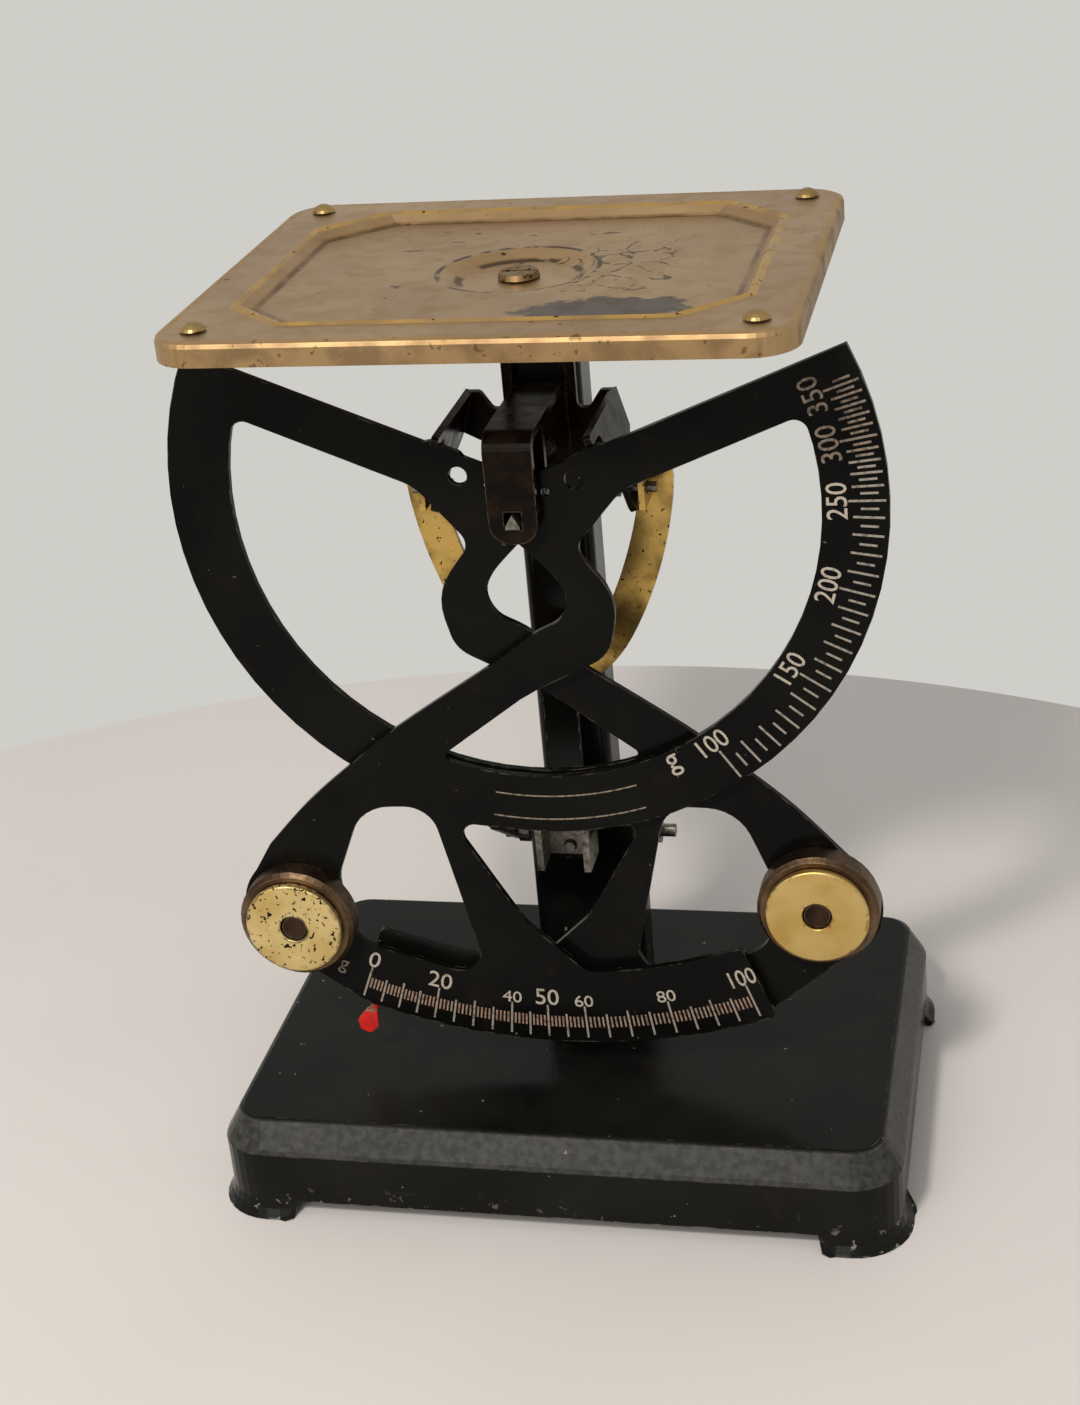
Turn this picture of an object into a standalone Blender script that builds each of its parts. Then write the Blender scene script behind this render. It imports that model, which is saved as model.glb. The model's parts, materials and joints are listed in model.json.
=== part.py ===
"""A two-pendulum letter balance: a pan on a sliding carrier that presses two mirrored pendulum plates.

Units are metres. X runs to the right, Y to the back and Z up. The origin is the middle of the
base, on the surface that the balance stands on. The balance is shown unloaded.
"""
import math

import bmesh
import bpy
from mathutils import Matrix, Vector

# Base: a pressed sheet shell with four flared feet
BASE_WIDTH = 0.1205
BASE_DEPTH = 0.082
BASE_TOP = 0.0184
BASE_BEVEL_DROP = 0.0056
BASE_BEVEL_INSET = 0.0030
BASE_EDGE_ROUND = 0.0008
BASE_SKIRT_LIFT = 0.0032
BASE_CORNER_RADIUS = 0.0085
BASE_WALL = 0.0010
FOOT_REACH = 0.0055
FOOT_END_RADIUS = 0.0030
FOOT_FLARE = 0.0021
FOOT_LEVELS_SHARES = ((0.45, 0.2), (0.8, 0.6), (1.0, 1.0))
FOOT_ROUND_SHARES = (0.0, 0.3, 1.0)

# Pillar: a folded channel, wide at the bottom, open to the back
PILLAR_FRONT = 0.0080
PILLAR_DEPTH = 0.0085
PILLAR_WALL = 0.0014
PILLAR_BEND = 0.0018
PILLAR_LOWER_WIDTH = 0.0200
PILLAR_UPPER_WIDTH = 0.0127
SHOULDER_ABOVE_LEVER = 0.0050
PILLAR_SHOULDER_RISE = 0.0040
PILLAR_RISE = 0.0165
PILLAR_SCREW_SPACING = 0.0100
PILLAR_SCREW_SHANK = 0.0013
PILLAR_SCREW_HEAD = 0.0026
PILLAR_SCREW_HEAD_HEIGHT = 0.0016
PILLAR_NUT = 0.0028
PILLAR_NUT_HEIGHT = 0.0020

# Pivot that both pendulums share, and the strap that holds it
PIVOT_HEIGHT = 0.1260
KNIFE_WIDTH = 0.0023
KNIFE_SHOULDER = 0.00195
KNIFE_DEPTH = 0.00245
KNIFE_PROUD = 0.0006
STRAP_WIDTH = 0.0080
STRAP_SHEET = 0.0013
STRAP_RISE = 0.0130
STRAP_BEND = 0.0019
TONGUE_DROP = 0.0052
TONGUE_ROUND = 0.0034
STRAP_FLANGE_DROP = 0.0020
STRAP_RIVET_RADIUS = 0.0009
STRAP_RIVET_HEAD = 0.0018
STRAP_RIVET_HEAD_HEIGHT = 0.0007
WASHER_RADIUS = 0.0040
WASHER_HOLE = 0.0030

# Pendulum plates: the front plate is drawn here and the rear plate is its mirror image
FRONT_PLATE_Y = -0.0175
REAR_PLATE_Y = -0.0152
PLATE_SHEET = 0.0011
TONGUE_GAP = 0.0016
REAR_CHEEK_GAP = 0.00225
RING_RADIUS = 0.0590
RING_INNER = 0.0485
ARM_ANGLE = math.radians(22.4)
ARM_WIDTH = 0.0077
ARM_CORNER = 0.0035
BAND_RADIUS = 0.1018
BAND_INNER = 0.0872
BAND_CORNER = 0.0010
BAND_END = math.radians(21.8)
BAND_LEFT = math.radians(20.5)
RING_END = math.radians(98.0)
RING_INNER_END = math.radians(106.5)
HUB_RADIUS = 0.0046
HUB_HOLE = 0.0030
LOBE_RADIUS = 0.0105
SEAT_START = 0.0108
SEAT_END = 0.0176
SEAT_RAMP = 0.0008
SEAT_HEIGHT = 0.0005
BIG_HOLE = 0.00155
SMALL_HOLE = 0.00075
BIG_HOLE_PLACE = (0.0097, 0.0045)
SMALL_HOLE_PLACE = (0.0050, 0.0025)

# Free outline points of the plate, as shares of the ring's radius, measured from the pivot
CROTCH_SHARES = ((-0.281, -0.978, 0.054), (-0.093, -1.305, 0.15), (0.086, -1.478, 0.085))
FLANK_SHARES = ((-0.850, -1.072), (-0.712, -0.924), (-0.572, -0.802), (-0.415, -0.675), (-0.100, -0.461))
EYE_SHARES = ((0.014, -0.376), (0.090, -0.332), (0.117, -0.268), (0.088, -0.203), (0.017, -0.126))
STRIP_SHARES = ((-0.296, -0.768, 0.030), (-0.017, -0.561, 0.34), (0.222, -0.441, 0.10))
LEG_SHARES = ((0.264, -0.270, 0.17), (0.150, -0.121, 0.045), (0.290, 0.045, 0.15))
WINDOW_SHARES = (
    (-0.649, -1.175, 0.120),
    (-0.624, -1.395, 0.095),
    (-0.214, -1.518, 0.070),
    (-0.342, -0.928, 0.095),
    (-0.551, -0.935, 0.135),
)

# Counterweights: a drum and a brass disc in front of the plate, a backing washer behind it, one bolt
LOBE_X = 0.0458
FRONT_LOBE_Z = -0.0758
REAR_LOBE_Z = -0.0738
WEIGHT_X = 0.0458
FRONT_WEIGHT_Z = -0.0768
REAR_WEIGHT_Z = -0.0720
DRUM_RADIUS = 0.0103
DRUM_DEPTH = 0.0042
DRUM_CHAMFER = 0.0007
DISC_RADIUS = 0.0087
DISC_DEPTH = 0.0012
DISC_CHAMFER = 0.0003
BACKING_RADIUS = 0.0078
BACKING_DEPTH = 0.0012
BOLT_RADIUS = 0.0022
BOLT_SUNK = 0.0006
BOLT_HEAD = 0.0036
BOLT_HEAD_HEIGHT = 0.0012

# Red zero pointer: a stem behind the rear plate, a bridge under both bands and a flag in front
POINTER_ANGLE = math.radians(20.0)
POINTER_TOP_RADIUS = 0.0935
POINTER_NECK_RADIUS = 0.0990
POINTER_BRIDGE_RADIUS = 0.1025
POINTER_FLAG_RADIUS = 0.1051
POINTER_FOOT_RADIUS = 0.1070
POINTER_WIDTH = 0.0039
POINTER_STEM_WIDTH = 0.0018
POINTER_BRIDGE_WIDTH = 0.0014
POINTER_FOOT_WIDTH = 0.0020
POINTER_SHEET = 0.0007
POINTER_FRONT_GAP = 0.0008
POINTER_RIVET = 0.0005
POINTER_RIVET_HEAD = 0.0009
POINTER_RIVET_HEAD_HEIGHT = 0.0004

# Pan: a pressed brass tray
PAN_WIDTH = 0.0970
PAN_DEPTH = 0.0812
PAN_CENTRE_Y = -0.0020
PAN_RISE = 0.0356
PAN_SHEET = 0.0008
PAN_EDGE_DROP = 0.0038
PAN_CORNER_RADIUS = 0.0070
PAN_EDGE_ROUND = 0.0009
PAN_BORDER = 0.0078
PAN_CLIP = 0.0100
PAN_BEAD_WIDTH = 0.0014
PAN_BEAD_HEIGHT = 0.0004
PAN_RECESS = 0.0014
PAN_RECESS_SLOPE = 0.0016
DISH_RADIUS = 0.0130
DISH_DEPTH = 0.0015
DISH_SLOPE = 0.0034
DISH_SHARES = ((0.0, 0.0), (0.2, 0.1), (0.5, 0.5), (0.8, 0.9), (1.0, 1.0))
EDGE_ROUND_SHARE = 0.3
STUD_INSET = 0.0062
STUD_RADIUS = 0.0021
STUD_DOME = 0.0012
STUD_SHANK = 0.0010
DOME_SHARES = (1.0, 0.8, 0.55, 0.25)
PAN_SCREW_HEAD = 0.0034
PAN_SCREW_HEAD_HEIGHT = 0.0009
PAN_SCREW_SHANK = 0.0015
PAN_SCREW_SLOT = 0.0008
PAN_NUT = 0.0030
PAN_NUT_HEIGHT = 0.0020

# Carrier yoke under the pan: a slotted neck and web, with slanted side ears that end in feet
YOKE_FRONT = 0.0050
YOKE_SHEET = 0.0012
YOKE_NECK_WIDTH = 0.0124
YOKE_TRAVEL = 0.0138
YOKE_SLOT_MARGIN = 0.0005
YOKE_TAB_FRONT = -0.0095
EAR_RISE = 0.0116
EAR_HALF_WIDTH = 0.0116
EAR_TILT = math.radians(15.5)
EAR_FOOT_FRONT = -0.0178
EAR_FOOT_BACK = -0.0126
EAR_DEPTH = 0.0177
EAR_PIN_Y = -0.0048
EAR_PIN_DROP = 0.0133
WEB_DIP_SHARE = 0.17
WEB_SIDE_SHARE = 0.39
WEB_BOTTOM_SHARE = 0.64

# Ear outline below its top edge, as shares of the ear's depth, from the back round to the foot
EAR_SHARES = ((0.35, 0.39), (-0.04, 0.60), (-0.13, 0.92), (-0.17, 1.0), (-0.37, 1.0), (-0.42, 0.93), (-0.44, 0.58))

# Brass bow that hangs from the yoke and holds the guide strip
BOW_Y = -0.0009
BOW_SHEET = 0.0010
BOW_RISE = 0.0025
BOW_DROP = 0.0365
BOW_WIDTH = 0.0060
BOW_TOP_WIDTH = 0.0052
BOW_HALF_SPAN = 0.0190
BOW_TAPER = 4
BOW_SHARES = ((1.03, 1.0), (1.04, 0.86), (0.93, 0.60), (0.74, 0.34), (0.50, 0.13), (0.22, 0.01), (0.0, 0.0))
BOW_EAR_X = 0.0179
BOW_EAR_HEIGHT = 0.0058
BOW_EAR_REACH = 0.0074
BOW_PIN_RADIUS = 0.0009
BOW_PIN_HEAD = 0.0016
BOW_PIN_HEAD_HEIGHT = 0.0007
BOW_PIN_END = 0.0205

# Guide strip and its slotted foot
GUIDE_WIDTH = 0.0060
GUIDE_SHEET = 0.0012
GUIDE_LAP = 0.0040
GUIDE_ABOVE_LEVER = 0.0005
GUIDE_RIVET_RADIUS = 0.0008
GUIDE_RIVET_HEAD = 0.0012
GUIDE_RIVET_HEAD_HEIGHT = 0.0006
GUIDE_RIVET_SPACING = 0.0028
FOOT_BRACKET_WIDTH = 0.0096
FOOT_BRACKET_SHEET = 0.0012
FOOT_BRACKET_HEIGHT = 0.0133
FOOT_BRACKET_ABOVE_LEVER = 0.0022
FOOT_LUG_RISE = 0.0032
FOOT_SLOT_FIT = 0.0005
FOOT_RIVET_INSET = 0.0018

# Guide lever: two cheeks beside the pillar, joined by a front pin
LEVER_PIVOT_Y = 0.0118
LEVER_DROP = 0.0750
LEVER_LENGTH = 0.0170
LEVER_REST_ANGLE = math.radians(34.0)
LEVER_X = 0.0126
LEVER_SHEET = 0.0012
LEVER_EYE_RADIUS = 0.0038
LEVER_WIDTH = 0.0042
LEVER_PIN_RADIUS = 0.0010
LEVER_PIN_HEAD = 0.0017
LEVER_PIN_HEAD_HEIGHT = 0.0008
PIVOT_PIN_RADIUS = 0.0012
PIVOT_PIN_HEAD = 0.0021
PIVOT_PIN_TAIL = 0.0026
LEVER_WASHER_RADIUS = 0.0028

# Clearance between pieces that touch or turn on each other, and how far a cutter runs past a face
FIT = 0.0003
OVERRUN = 0.0005

# Facets: the largest step round an arc, and the sides of small round pieces
ARC_STEP = math.radians(5.0)
FINE_STEP = math.radians(11.25)
FLAT_ANGLE = math.radians(0.1)
CORNER_POINTS = 9
ROUND_SIDES = 40
PIN_SIDES = 20
RIVET_SIDES = 16
CURVE_STEPS = 5
STEP_SLACK_SHARE = 0.001
WELD_SHARE = 0.01
CORNER_STEPS_SHARE = 1.2

# Planes that follow from the sizes above
TONGUE_BACK = FRONT_PLATE_Y - PLATE_SHEET / 2 - TONGUE_GAP
TONGUE_FRONT = TONGUE_BACK - STRAP_SHEET
CHEEK_FRONT = REAR_PLATE_Y + PLATE_SHEET / 2 + REAR_CHEEK_GAP
STRAP_UNDER = PIVOT_HEIGHT + STRAP_RISE - STRAP_SHEET
PILLAR_TOP = PIVOT_HEIGHT + PILLAR_RISE
PAN_TOP = PIVOT_HEIGHT + PAN_RISE
EAR_TOP = PIVOT_HEIGHT + EAR_RISE
BOW_TOP = PIVOT_HEIGHT + BOW_RISE
BOW_BOTTOM = PIVOT_HEIGHT - BOW_DROP
LEVER_PIVOT_Z = PIVOT_HEIGHT - LEVER_DROP
PILLAR_SHOULDER = LEVER_PIVOT_Z + SHOULDER_ABOVE_LEVER
GUIDE_TOP = BOW_BOTTOM + GUIDE_LAP
GUIDE_BOTTOM = LEVER_PIVOT_Z + GUIDE_ABOVE_LEVER
FOOT_BRACKET_BOTTOM = LEVER_PIVOT_Z + FOOT_BRACKET_ABOVE_LEVER
FOOT_BRACKET_TOP = FOOT_BRACKET_BOTTOM + FOOT_BRACKET_HEIGHT
YOKE_BACK = YOKE_FRONT + YOKE_SHEET
DISH_UNDER = PAN_TOP - PAN_RECESS - DISH_DEPTH - PAN_SHEET
TAB_TOP = DISH_UNDER - FIT
SEAT_OFFSET = ARM_WIDTH / 2 + SEAT_HEIGHT
EAR_FOOT_X = EAR_HALF_WIDTH + YOKE_SHEET / 2
ARM_SEAT_HEIGHT = EAR_FOOT_X * math.tan(ARM_ANGLE) + SEAT_OFFSET / math.cos(ARM_ANGLE)
EAR_FOOT_BOTTOM = PIVOT_HEIGHT + ARM_SEAT_HEIGHT + FIT
GUIDE_FRONT = BOW_Y + BOW_SHEET / 2 + FIT
BRACKET_BACK = GUIDE_FRONT - FIT
LEVER_PIN_Y = LEVER_PIVOT_Y - LEVER_LENGTH * math.cos(LEVER_REST_ANGLE)
LEVER_PIN_Z = LEVER_PIVOT_Z + LEVER_LENGTH * math.sin(LEVER_REST_ANGLE)


def clear_scene():
    """Remove what the scene holds, so that the script can run again."""
    for item in list(bpy.data.objects):
        bpy.data.objects.remove(item, do_unlink=True)


def new_collection(name):
    """A collection of its own under the scene."""
    collection = bpy.data.collections.new(name)
    bpy.context.scene.collection.children.link(collection)
    return collection


def finish(name, colour, roughness, metallic):
    """A Principled material in one plain finish."""
    material = bpy.data.materials.new(name)
    material.use_nodes = True
    shader = material.node_tree.nodes["Principled BSDF"]
    shader.inputs["Base Color"].default_value = (*colour, 1.0)
    shader.inputs["Roughness"].default_value = roughness
    shader.inputs["Metallic"].default_value = metallic
    return material


def add_empty(name, place):
    """An empty that carries a moving group and sits on its joint."""
    empty = bpy.data.objects.new(name, None)
    empty.location = place
    PARTS.objects.link(empty)
    return empty


def add_piece(name, form, colour, group=None):
    """Turn a bmesh into a named piece. The bmesh is in the group's own coordinates."""
    bmesh.ops.recalc_face_normals(form, faces=form.faces)
    mesh = bpy.data.meshes.new(name)
    form.to_mesh(mesh)
    form.free()
    mesh.shade_smooth()
    mesh.set_sharp_from_angle(angle=math.radians(30.0))
    piece = bpy.data.objects.new(name, mesh)
    piece.data.materials.append(colour)
    piece.parent = group
    PARTS.objects.link(piece)
    return piece


def add_pieces(names, forms, colour, group=None, shift=(0.0, 0.0, 0.0)):
    """Add one named piece for each form."""
    for name, form in zip(names, forms):
        add_piece(name, moved(form, shift), colour, group)


def box(low, high):
    """A block between two corners."""
    form = bmesh.new()
    bmesh.ops.create_cube(form, size=1.0)
    low = Vector(low)
    high = Vector(high)
    size = high - low
    scale = Matrix.Diagonal((*size, 1.0))
    bmesh.ops.transform(form, matrix=Matrix.Translation((low + high) / 2) @ scale, verts=form.verts)
    return form


def rod(radius, start, end, sides=PIN_SIDES, end_radius=None):
    """A cylinder, or a cone where the end has its own radius, between two points."""
    start = Vector(start)
    axis = Vector(end) - start
    form = bmesh.new()
    tip = radius if end_radius is None else end_radius
    bmesh.ops.create_cone(form, cap_ends=True, segments=sides, radius1=radius, radius2=tip, depth=axis.length)
    turn = axis.to_track_quat("Z", "Y").to_matrix().to_4x4()
    bmesh.ops.transform(form, matrix=Matrix.Translation(start + axis / 2) @ turn, verts=form.verts)
    return form


def combine(base, tool, operation):
    """Join or cut two closed forms with an exact Boolean and return the result."""
    pair = []
    for form in (base, tool):
        bmesh.ops.recalc_face_normals(form, faces=form.faces)
        mesh = bpy.data.meshes.new("working")
        form.to_mesh(mesh)
        form.free()
        item = bpy.data.objects.new("working", mesh)
        CUTTERS.objects.link(item)
        item.hide_render = True
        item.display_type = "WIRE"
        pair.append(item)
    boolean = pair[0].modifiers.new("shape", "BOOLEAN")
    boolean.operation = operation
    boolean.solver = "EXACT"
    boolean.object = pair[1]
    evaluated = pair[0].evaluated_get(bpy.context.evaluated_depsgraph_get())
    result = bmesh.new()
    result.from_mesh(evaluated.to_mesh())
    evaluated.to_mesh_clear()
    for item in pair:
        bpy.data.objects.remove(item, do_unlink=True)
    return result


def join(base, *tools):
    """Unite closed forms that overlap."""
    for tool in tools:
        base = combine(base, tool, "UNION")
    return base


def cut(base, *tools):
    """Take closed forms out of a closed form."""
    for tool in tools:
        base = combine(base, tool, "DIFFERENCE")
    return base


def arc(centre, radius, start, end, step=ARC_STEP):
    """Points along an arc, both ends included."""
    count = max(1, math.ceil(abs(end - start) / step - STEP_SLACK_SHARE))
    points = []
    for index in range(count + 1):
        angle = start + (end - start) * index / count
        points.append((centre[0] + radius * math.cos(angle), centre[1] + radius * math.sin(angle)))
    return points


def circle(centre, radius, sides):
    """Points round a circle."""
    return arc(centre, radius, 0.0, math.tau * (sides - 1) / sides, math.tau / sides)


def rounded(points):
    """The middle points of an open run of corners, each with its own fillet radius."""
    path = []
    for before, here, after in zip(points, points[1:], points[2:]):
        corner = Vector(here[:2])
        if here[2] == 0.0:
            path.append(tuple(corner))
            continue
        back = (Vector(before[:2]) - corner).normalized()
        ahead = (Vector(after[:2]) - corner).normalized()
        half = back.angle(ahead) / 2
        room = min((Vector(before[:2]) - corner).length, (Vector(after[:2]) - corner).length)
        reach = min(here[2] / math.tan(half), room / 2)
        radius = reach * math.tan(half)
        middle = corner + (back + ahead).normalized() * radius / math.sin(half)
        first = corner + back * reach - middle
        last = corner + ahead * reach - middle
        sweep = first.angle_signed(last)
        count = max(1, math.ceil(abs(sweep) / FINE_STEP - STEP_SLACK_SHARE))
        begin = math.atan2(first.y, first.x)
        for index in range(count + 1):
            angle = begin - sweep * index / count
            path.append((middle.x + radius * math.cos(angle), middle.y + radius * math.sin(angle)))
    return path


def rounded_loop(points):
    """A closed outline from corners with fillet radii."""
    return rounded([points[-1], *points, points[0]])


def smooth(points):
    """A smooth curve through a few points."""
    ends = [points[0], *points, points[-1]]
    path = []
    for p0, p1, p2, p3 in zip(ends, ends[1:], ends[2:], ends[3:]):
        for index in range(CURVE_STEPS):
            t = index / CURVE_STEPS
            weights = (-t + 2 * t**2 - t**3, 2 - 5 * t**2 + 3 * t**3, t + 4 * t**2 - 3 * t**3, t**3 - t**2)
            x = sum(w * p[0] for w, p in zip(weights, (p0, p1, p2, p3))) / 2
            z = sum(w * p[1] for w, p in zip(weights, (p0, p1, p2, p3))) / 2
            path.append((x, z))
    path.append(points[-1])
    return path


def scaled(shares, length):
    """Shares turned into lengths."""
    return [tuple(share * length for share in row) for row in shares]


def flat_outline(loops, sheet):
    """A sheet cut to an outline with holes. It faces -Y, its middle is at Y zero."""
    curve = bpy.data.curves.new("working", "CURVE")
    curve.dimensions = "2D"
    curve.fill_mode = "BOTH"
    curve.extrude = sheet / 2
    for loop in loops:
        spline = curve.splines.new("POLY")
        spline.points.add(len(loop) - 1)
        for point, (x, z) in zip(spline.points, loop):
            point.co = (x, z, 0.0, 1.0)
        spline.use_cyclic_u = True
    item = bpy.data.objects.new("working", curve)
    item.rotation_euler = (math.pi / 2, 0.0, 0.0)
    CUTTERS.objects.link(item)
    evaluated = item.evaluated_get(bpy.context.evaluated_depsgraph_get())
    mesh = bpy.data.meshes.new_from_object(evaluated)
    form = bmesh.new()
    form.from_mesh(mesh)
    bmesh.ops.transform(form, matrix=evaluated.matrix_world.copy(), verts=form.verts)
    bmesh.ops.remove_doubles(form, verts=form.verts, dist=FIT * WELD_SHARE)
    bpy.data.objects.remove(item, do_unlink=True)
    bpy.data.meshes.remove(mesh)
    return form


def moved(form, place, turn=None):
    """Shift a form, after a turn about the origin if one is given."""
    matrix = Matrix.Translation(place)
    if turn is not None:
        matrix = matrix @ turn
    bmesh.ops.transform(form, matrix=matrix, verts=form.verts)
    return form


def mirrored(form):
    """The same form on the other side of the plane X = 0."""
    bmesh.ops.transform(form, matrix=Matrix.Scale(-1.0, 4, (1.0, 0.0, 0.0)), verts=form.verts)
    bmesh.ops.reverse_faces(form, faces=form.faces)
    return form


def turned(profile, sides=ROUND_SIDES):
    """A round piece about the Y axis from a closed profile of (radius, y) points off the axis."""
    form = bmesh.new()
    rings = []
    for index in range(sides):
        angle = math.tau * index / sides
        ring = [form.verts.new((r * math.cos(angle), y, r * math.sin(angle))) for r, y in profile]
        rings.append(ring)
    count = len(profile)
    for ring, following in zip(rings, rings[1:] + rings[:1]):
        for k in range(count):
            form.faces.new((ring[k], ring[(k + 1) % count], following[(k + 1) % count], following[k]))
    return form


def loft(sections):
    """A closed body through outlines of equal count, with flat ends."""
    form = bmesh.new()
    rings = [[form.verts.new(point) for point in section] for section in sections]
    for ring, following in zip(rings, rings[1:]):
        count = len(ring)
        for k in range(count):
            form.faces.new((ring[k], ring[(k + 1) % count], following[(k + 1) % count], following[k]))
    form.faces.new(rings[0])
    form.faces.new(rings[-1])
    return form


def rivet(place, direction, shank, length, head, head_height, sides=RIVET_SIDES):
    """A rivet with a low conical head at each end. Its shank starts at place and runs along direction."""
    place = Vector(place)
    direction = Vector(direction).normalized()
    far = place + direction * length
    sink = direction * (head_height / 2)
    form = rod(shank, place - sink, far + sink, sides)
    near_head = rod(head, place, place - direction * head_height, sides, end_radius=(head + shank) / 2)
    far_head = rod(head, far, far + direction * head_height, sides, end_radius=(head + shank) / 2)
    return join(form, near_head, far_head)


def hexagon(radius, low, high):
    """A hexagon nut's body between two points."""
    return rod(radius, low, high, sides=6)


def rim_columns(inset):
    """Points round the base with the outward direction and the share of a foot below each."""
    half_x = BASE_WIDTH / 2 - inset
    half_y = BASE_DEPTH / 2 - inset
    radius = BASE_CORNER_RADIUS - inset
    columns = []
    for corner in range(4):
        turn = Matrix.Rotation(corner * math.pi / 2, 2)
        reach_x, reach_y = (half_x, half_y) if corner % 2 == 0 else (half_y, half_x)
        centre = Vector((reach_x - radius, reach_y - radius))
        rows = []
        for share in FOOT_ROUND_SHARES:
            back = FOOT_REACH - FOOT_END_RADIUS * share
            rows.append((Vector((reach_x, centre.y - back)), Vector((1.0, 0.0)), math.sqrt(share * (2 - share))))
        for index in range(CORNER_POINTS):
            angle = math.pi / 2 * index / (CORNER_POINTS - 1)
            outward = Vector((math.cos(angle), math.sin(angle)))
            rows.append((centre + outward * radius, outward, 1.0))
        for share in reversed(FOOT_ROUND_SHARES):
            back = FOOT_REACH - FOOT_END_RADIUS * share
            rows.append((Vector((centre.x - back, reach_y)), Vector((0.0, 1.0)), math.sqrt(share * (2 - share))))
        for place, outward, foot in rows:
            columns.append((turn @ place, turn @ outward, foot))
    return columns


def base_skin():
    """The outer surface of the base: top, bevel, skirt and four flared feet, open below."""
    form = bmesh.new()
    bevel_low = BASE_TOP - BASE_BEVEL_DROP
    levels = (
        (BASE_BEVEL_INSET + BASE_EDGE_ROUND, BASE_TOP),
        (BASE_BEVEL_INSET, BASE_TOP - BASE_EDGE_ROUND / 2),
        (BASE_EDGE_ROUND / 2, bevel_low + BASE_EDGE_ROUND),
        (0.0, bevel_low),
        (0.0, BASE_SKIRT_LIFT),
    )
    rings = []
    for inset, height in levels:
        ring = [form.verts.new((*place, height)) for place, outward, foot in rim_columns(inset)]
        rings.append(ring)
    columns = rim_columns(0.0)
    count = len(columns)
    for depth_share, flare_share in FOOT_LEVELS_SHARES:
        ring = []
        drop = (BASE_SKIRT_LIFT + OVERRUN) * depth_share
        for k, (place, outward, foot) in enumerate(columns):
            if foot == 0.0:
                ring.append(rings[4][k])
                continue
            flared = place + outward * FOOT_FLARE * flare_share * foot
            ring.append(form.verts.new((*flared, BASE_SKIRT_LIFT - drop * foot)))
        rings.append(ring)
    form.faces.new(rings[0])
    for ring, following in zip(rings, rings[1:]):
        for k in range(count):
            corners = []
            for vert in (ring[k], ring[(k + 1) % count], following[(k + 1) % count], following[k]):
                if vert not in corners:
                    corners.append(vert)
            if len(corners) > 2:
                form.faces.new(corners)
    return form


def thicken(skin, wall):
    """Give an open skin its wall on the inner side."""
    bmesh.ops.recalc_face_normals(skin, faces=skin.faces)
    top = max(skin.faces, key=lambda face: face.calc_center_median().z)
    if top.normal.z < 0:
        bmesh.ops.reverse_faces(skin, faces=skin.faces)
    mesh = bpy.data.meshes.new("working")
    skin.to_mesh(mesh)
    skin.free()
    item = bpy.data.objects.new("working", mesh)
    CUTTERS.objects.link(item)
    solid = item.modifiers.new("wall", "SOLIDIFY")
    solid.thickness = wall
    solid.offset = -1.0
    solid.use_even_offset = True
    evaluated = item.evaluated_get(bpy.context.evaluated_depsgraph_get())
    result = bmesh.new()
    result.from_mesh(evaluated.to_mesh())
    evaluated.to_mesh_clear()
    bpy.data.objects.remove(item, do_unlink=True)
    return result


def pillar_screw_places():
    """Where the two screws hold the pillar's floor."""
    middle = PILLAR_FRONT + (PILLAR_DEPTH + PILLAR_WALL) / 2
    return [(side * PILLAR_SCREW_SPACING / 2, middle) for side in (-1, 1)]


def make_base():
    """Base shell, with two screw holes and its feet cut flat where they stand."""
    shell = thicken(base_skin(), BASE_WALL)
    half_x = BASE_WIDTH / 2 + FOOT_FLARE + OVERRUN
    half_y = BASE_DEPTH / 2 + FOOT_FLARE + OVERRUN
    below = -BASE_SKIRT_LIFT - OVERRUN
    tools = [box((-half_x, -half_y, below), (half_x, half_y, 0.0))]
    for x, y in pillar_screw_places():
        low = BASE_TOP - BASE_WALL - OVERRUN
        tools.append(rod(PILLAR_SCREW_SHANK + FIT, (x, y, low), (x, y, BASE_TOP + OVERRUN)))
    add_piece("base_shell", cut(shell, *tools), BLACK)


def channel_section(width, height):
    """The pillar's U section, open to the back, at one height."""
    half = width / 2
    back = PILLAR_FRONT + PILLAR_DEPTH
    inner = half - PILLAR_WALL
    inner_front = PILLAR_FRONT + PILLAR_WALL
    inner_bend = PILLAR_BEND - PILLAR_WALL
    outline = rounded_loop([
        (-half, back, 0.0),
        (-half, PILLAR_FRONT, PILLAR_BEND),
        (half, PILLAR_FRONT, PILLAR_BEND),
        (half, back, 0.0),
        (inner, back, 0.0),
        (inner, inner_front, inner_bend),
        (-inner, inner_front, inner_bend),
        (-inner, back, 0.0),
    ])
    return [(x, y, height) for x, y in outline]


def strap_rivet_heights():
    """Heights of the two rivets that hold the strap's flange to the pillar."""
    flange_low = PIVOT_HEIGHT - STRAP_FLANGE_DROP
    flange_high = STRAP_UNDER
    third = (flange_high - flange_low) / 4
    return (flange_low + third, flange_high - third)


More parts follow.
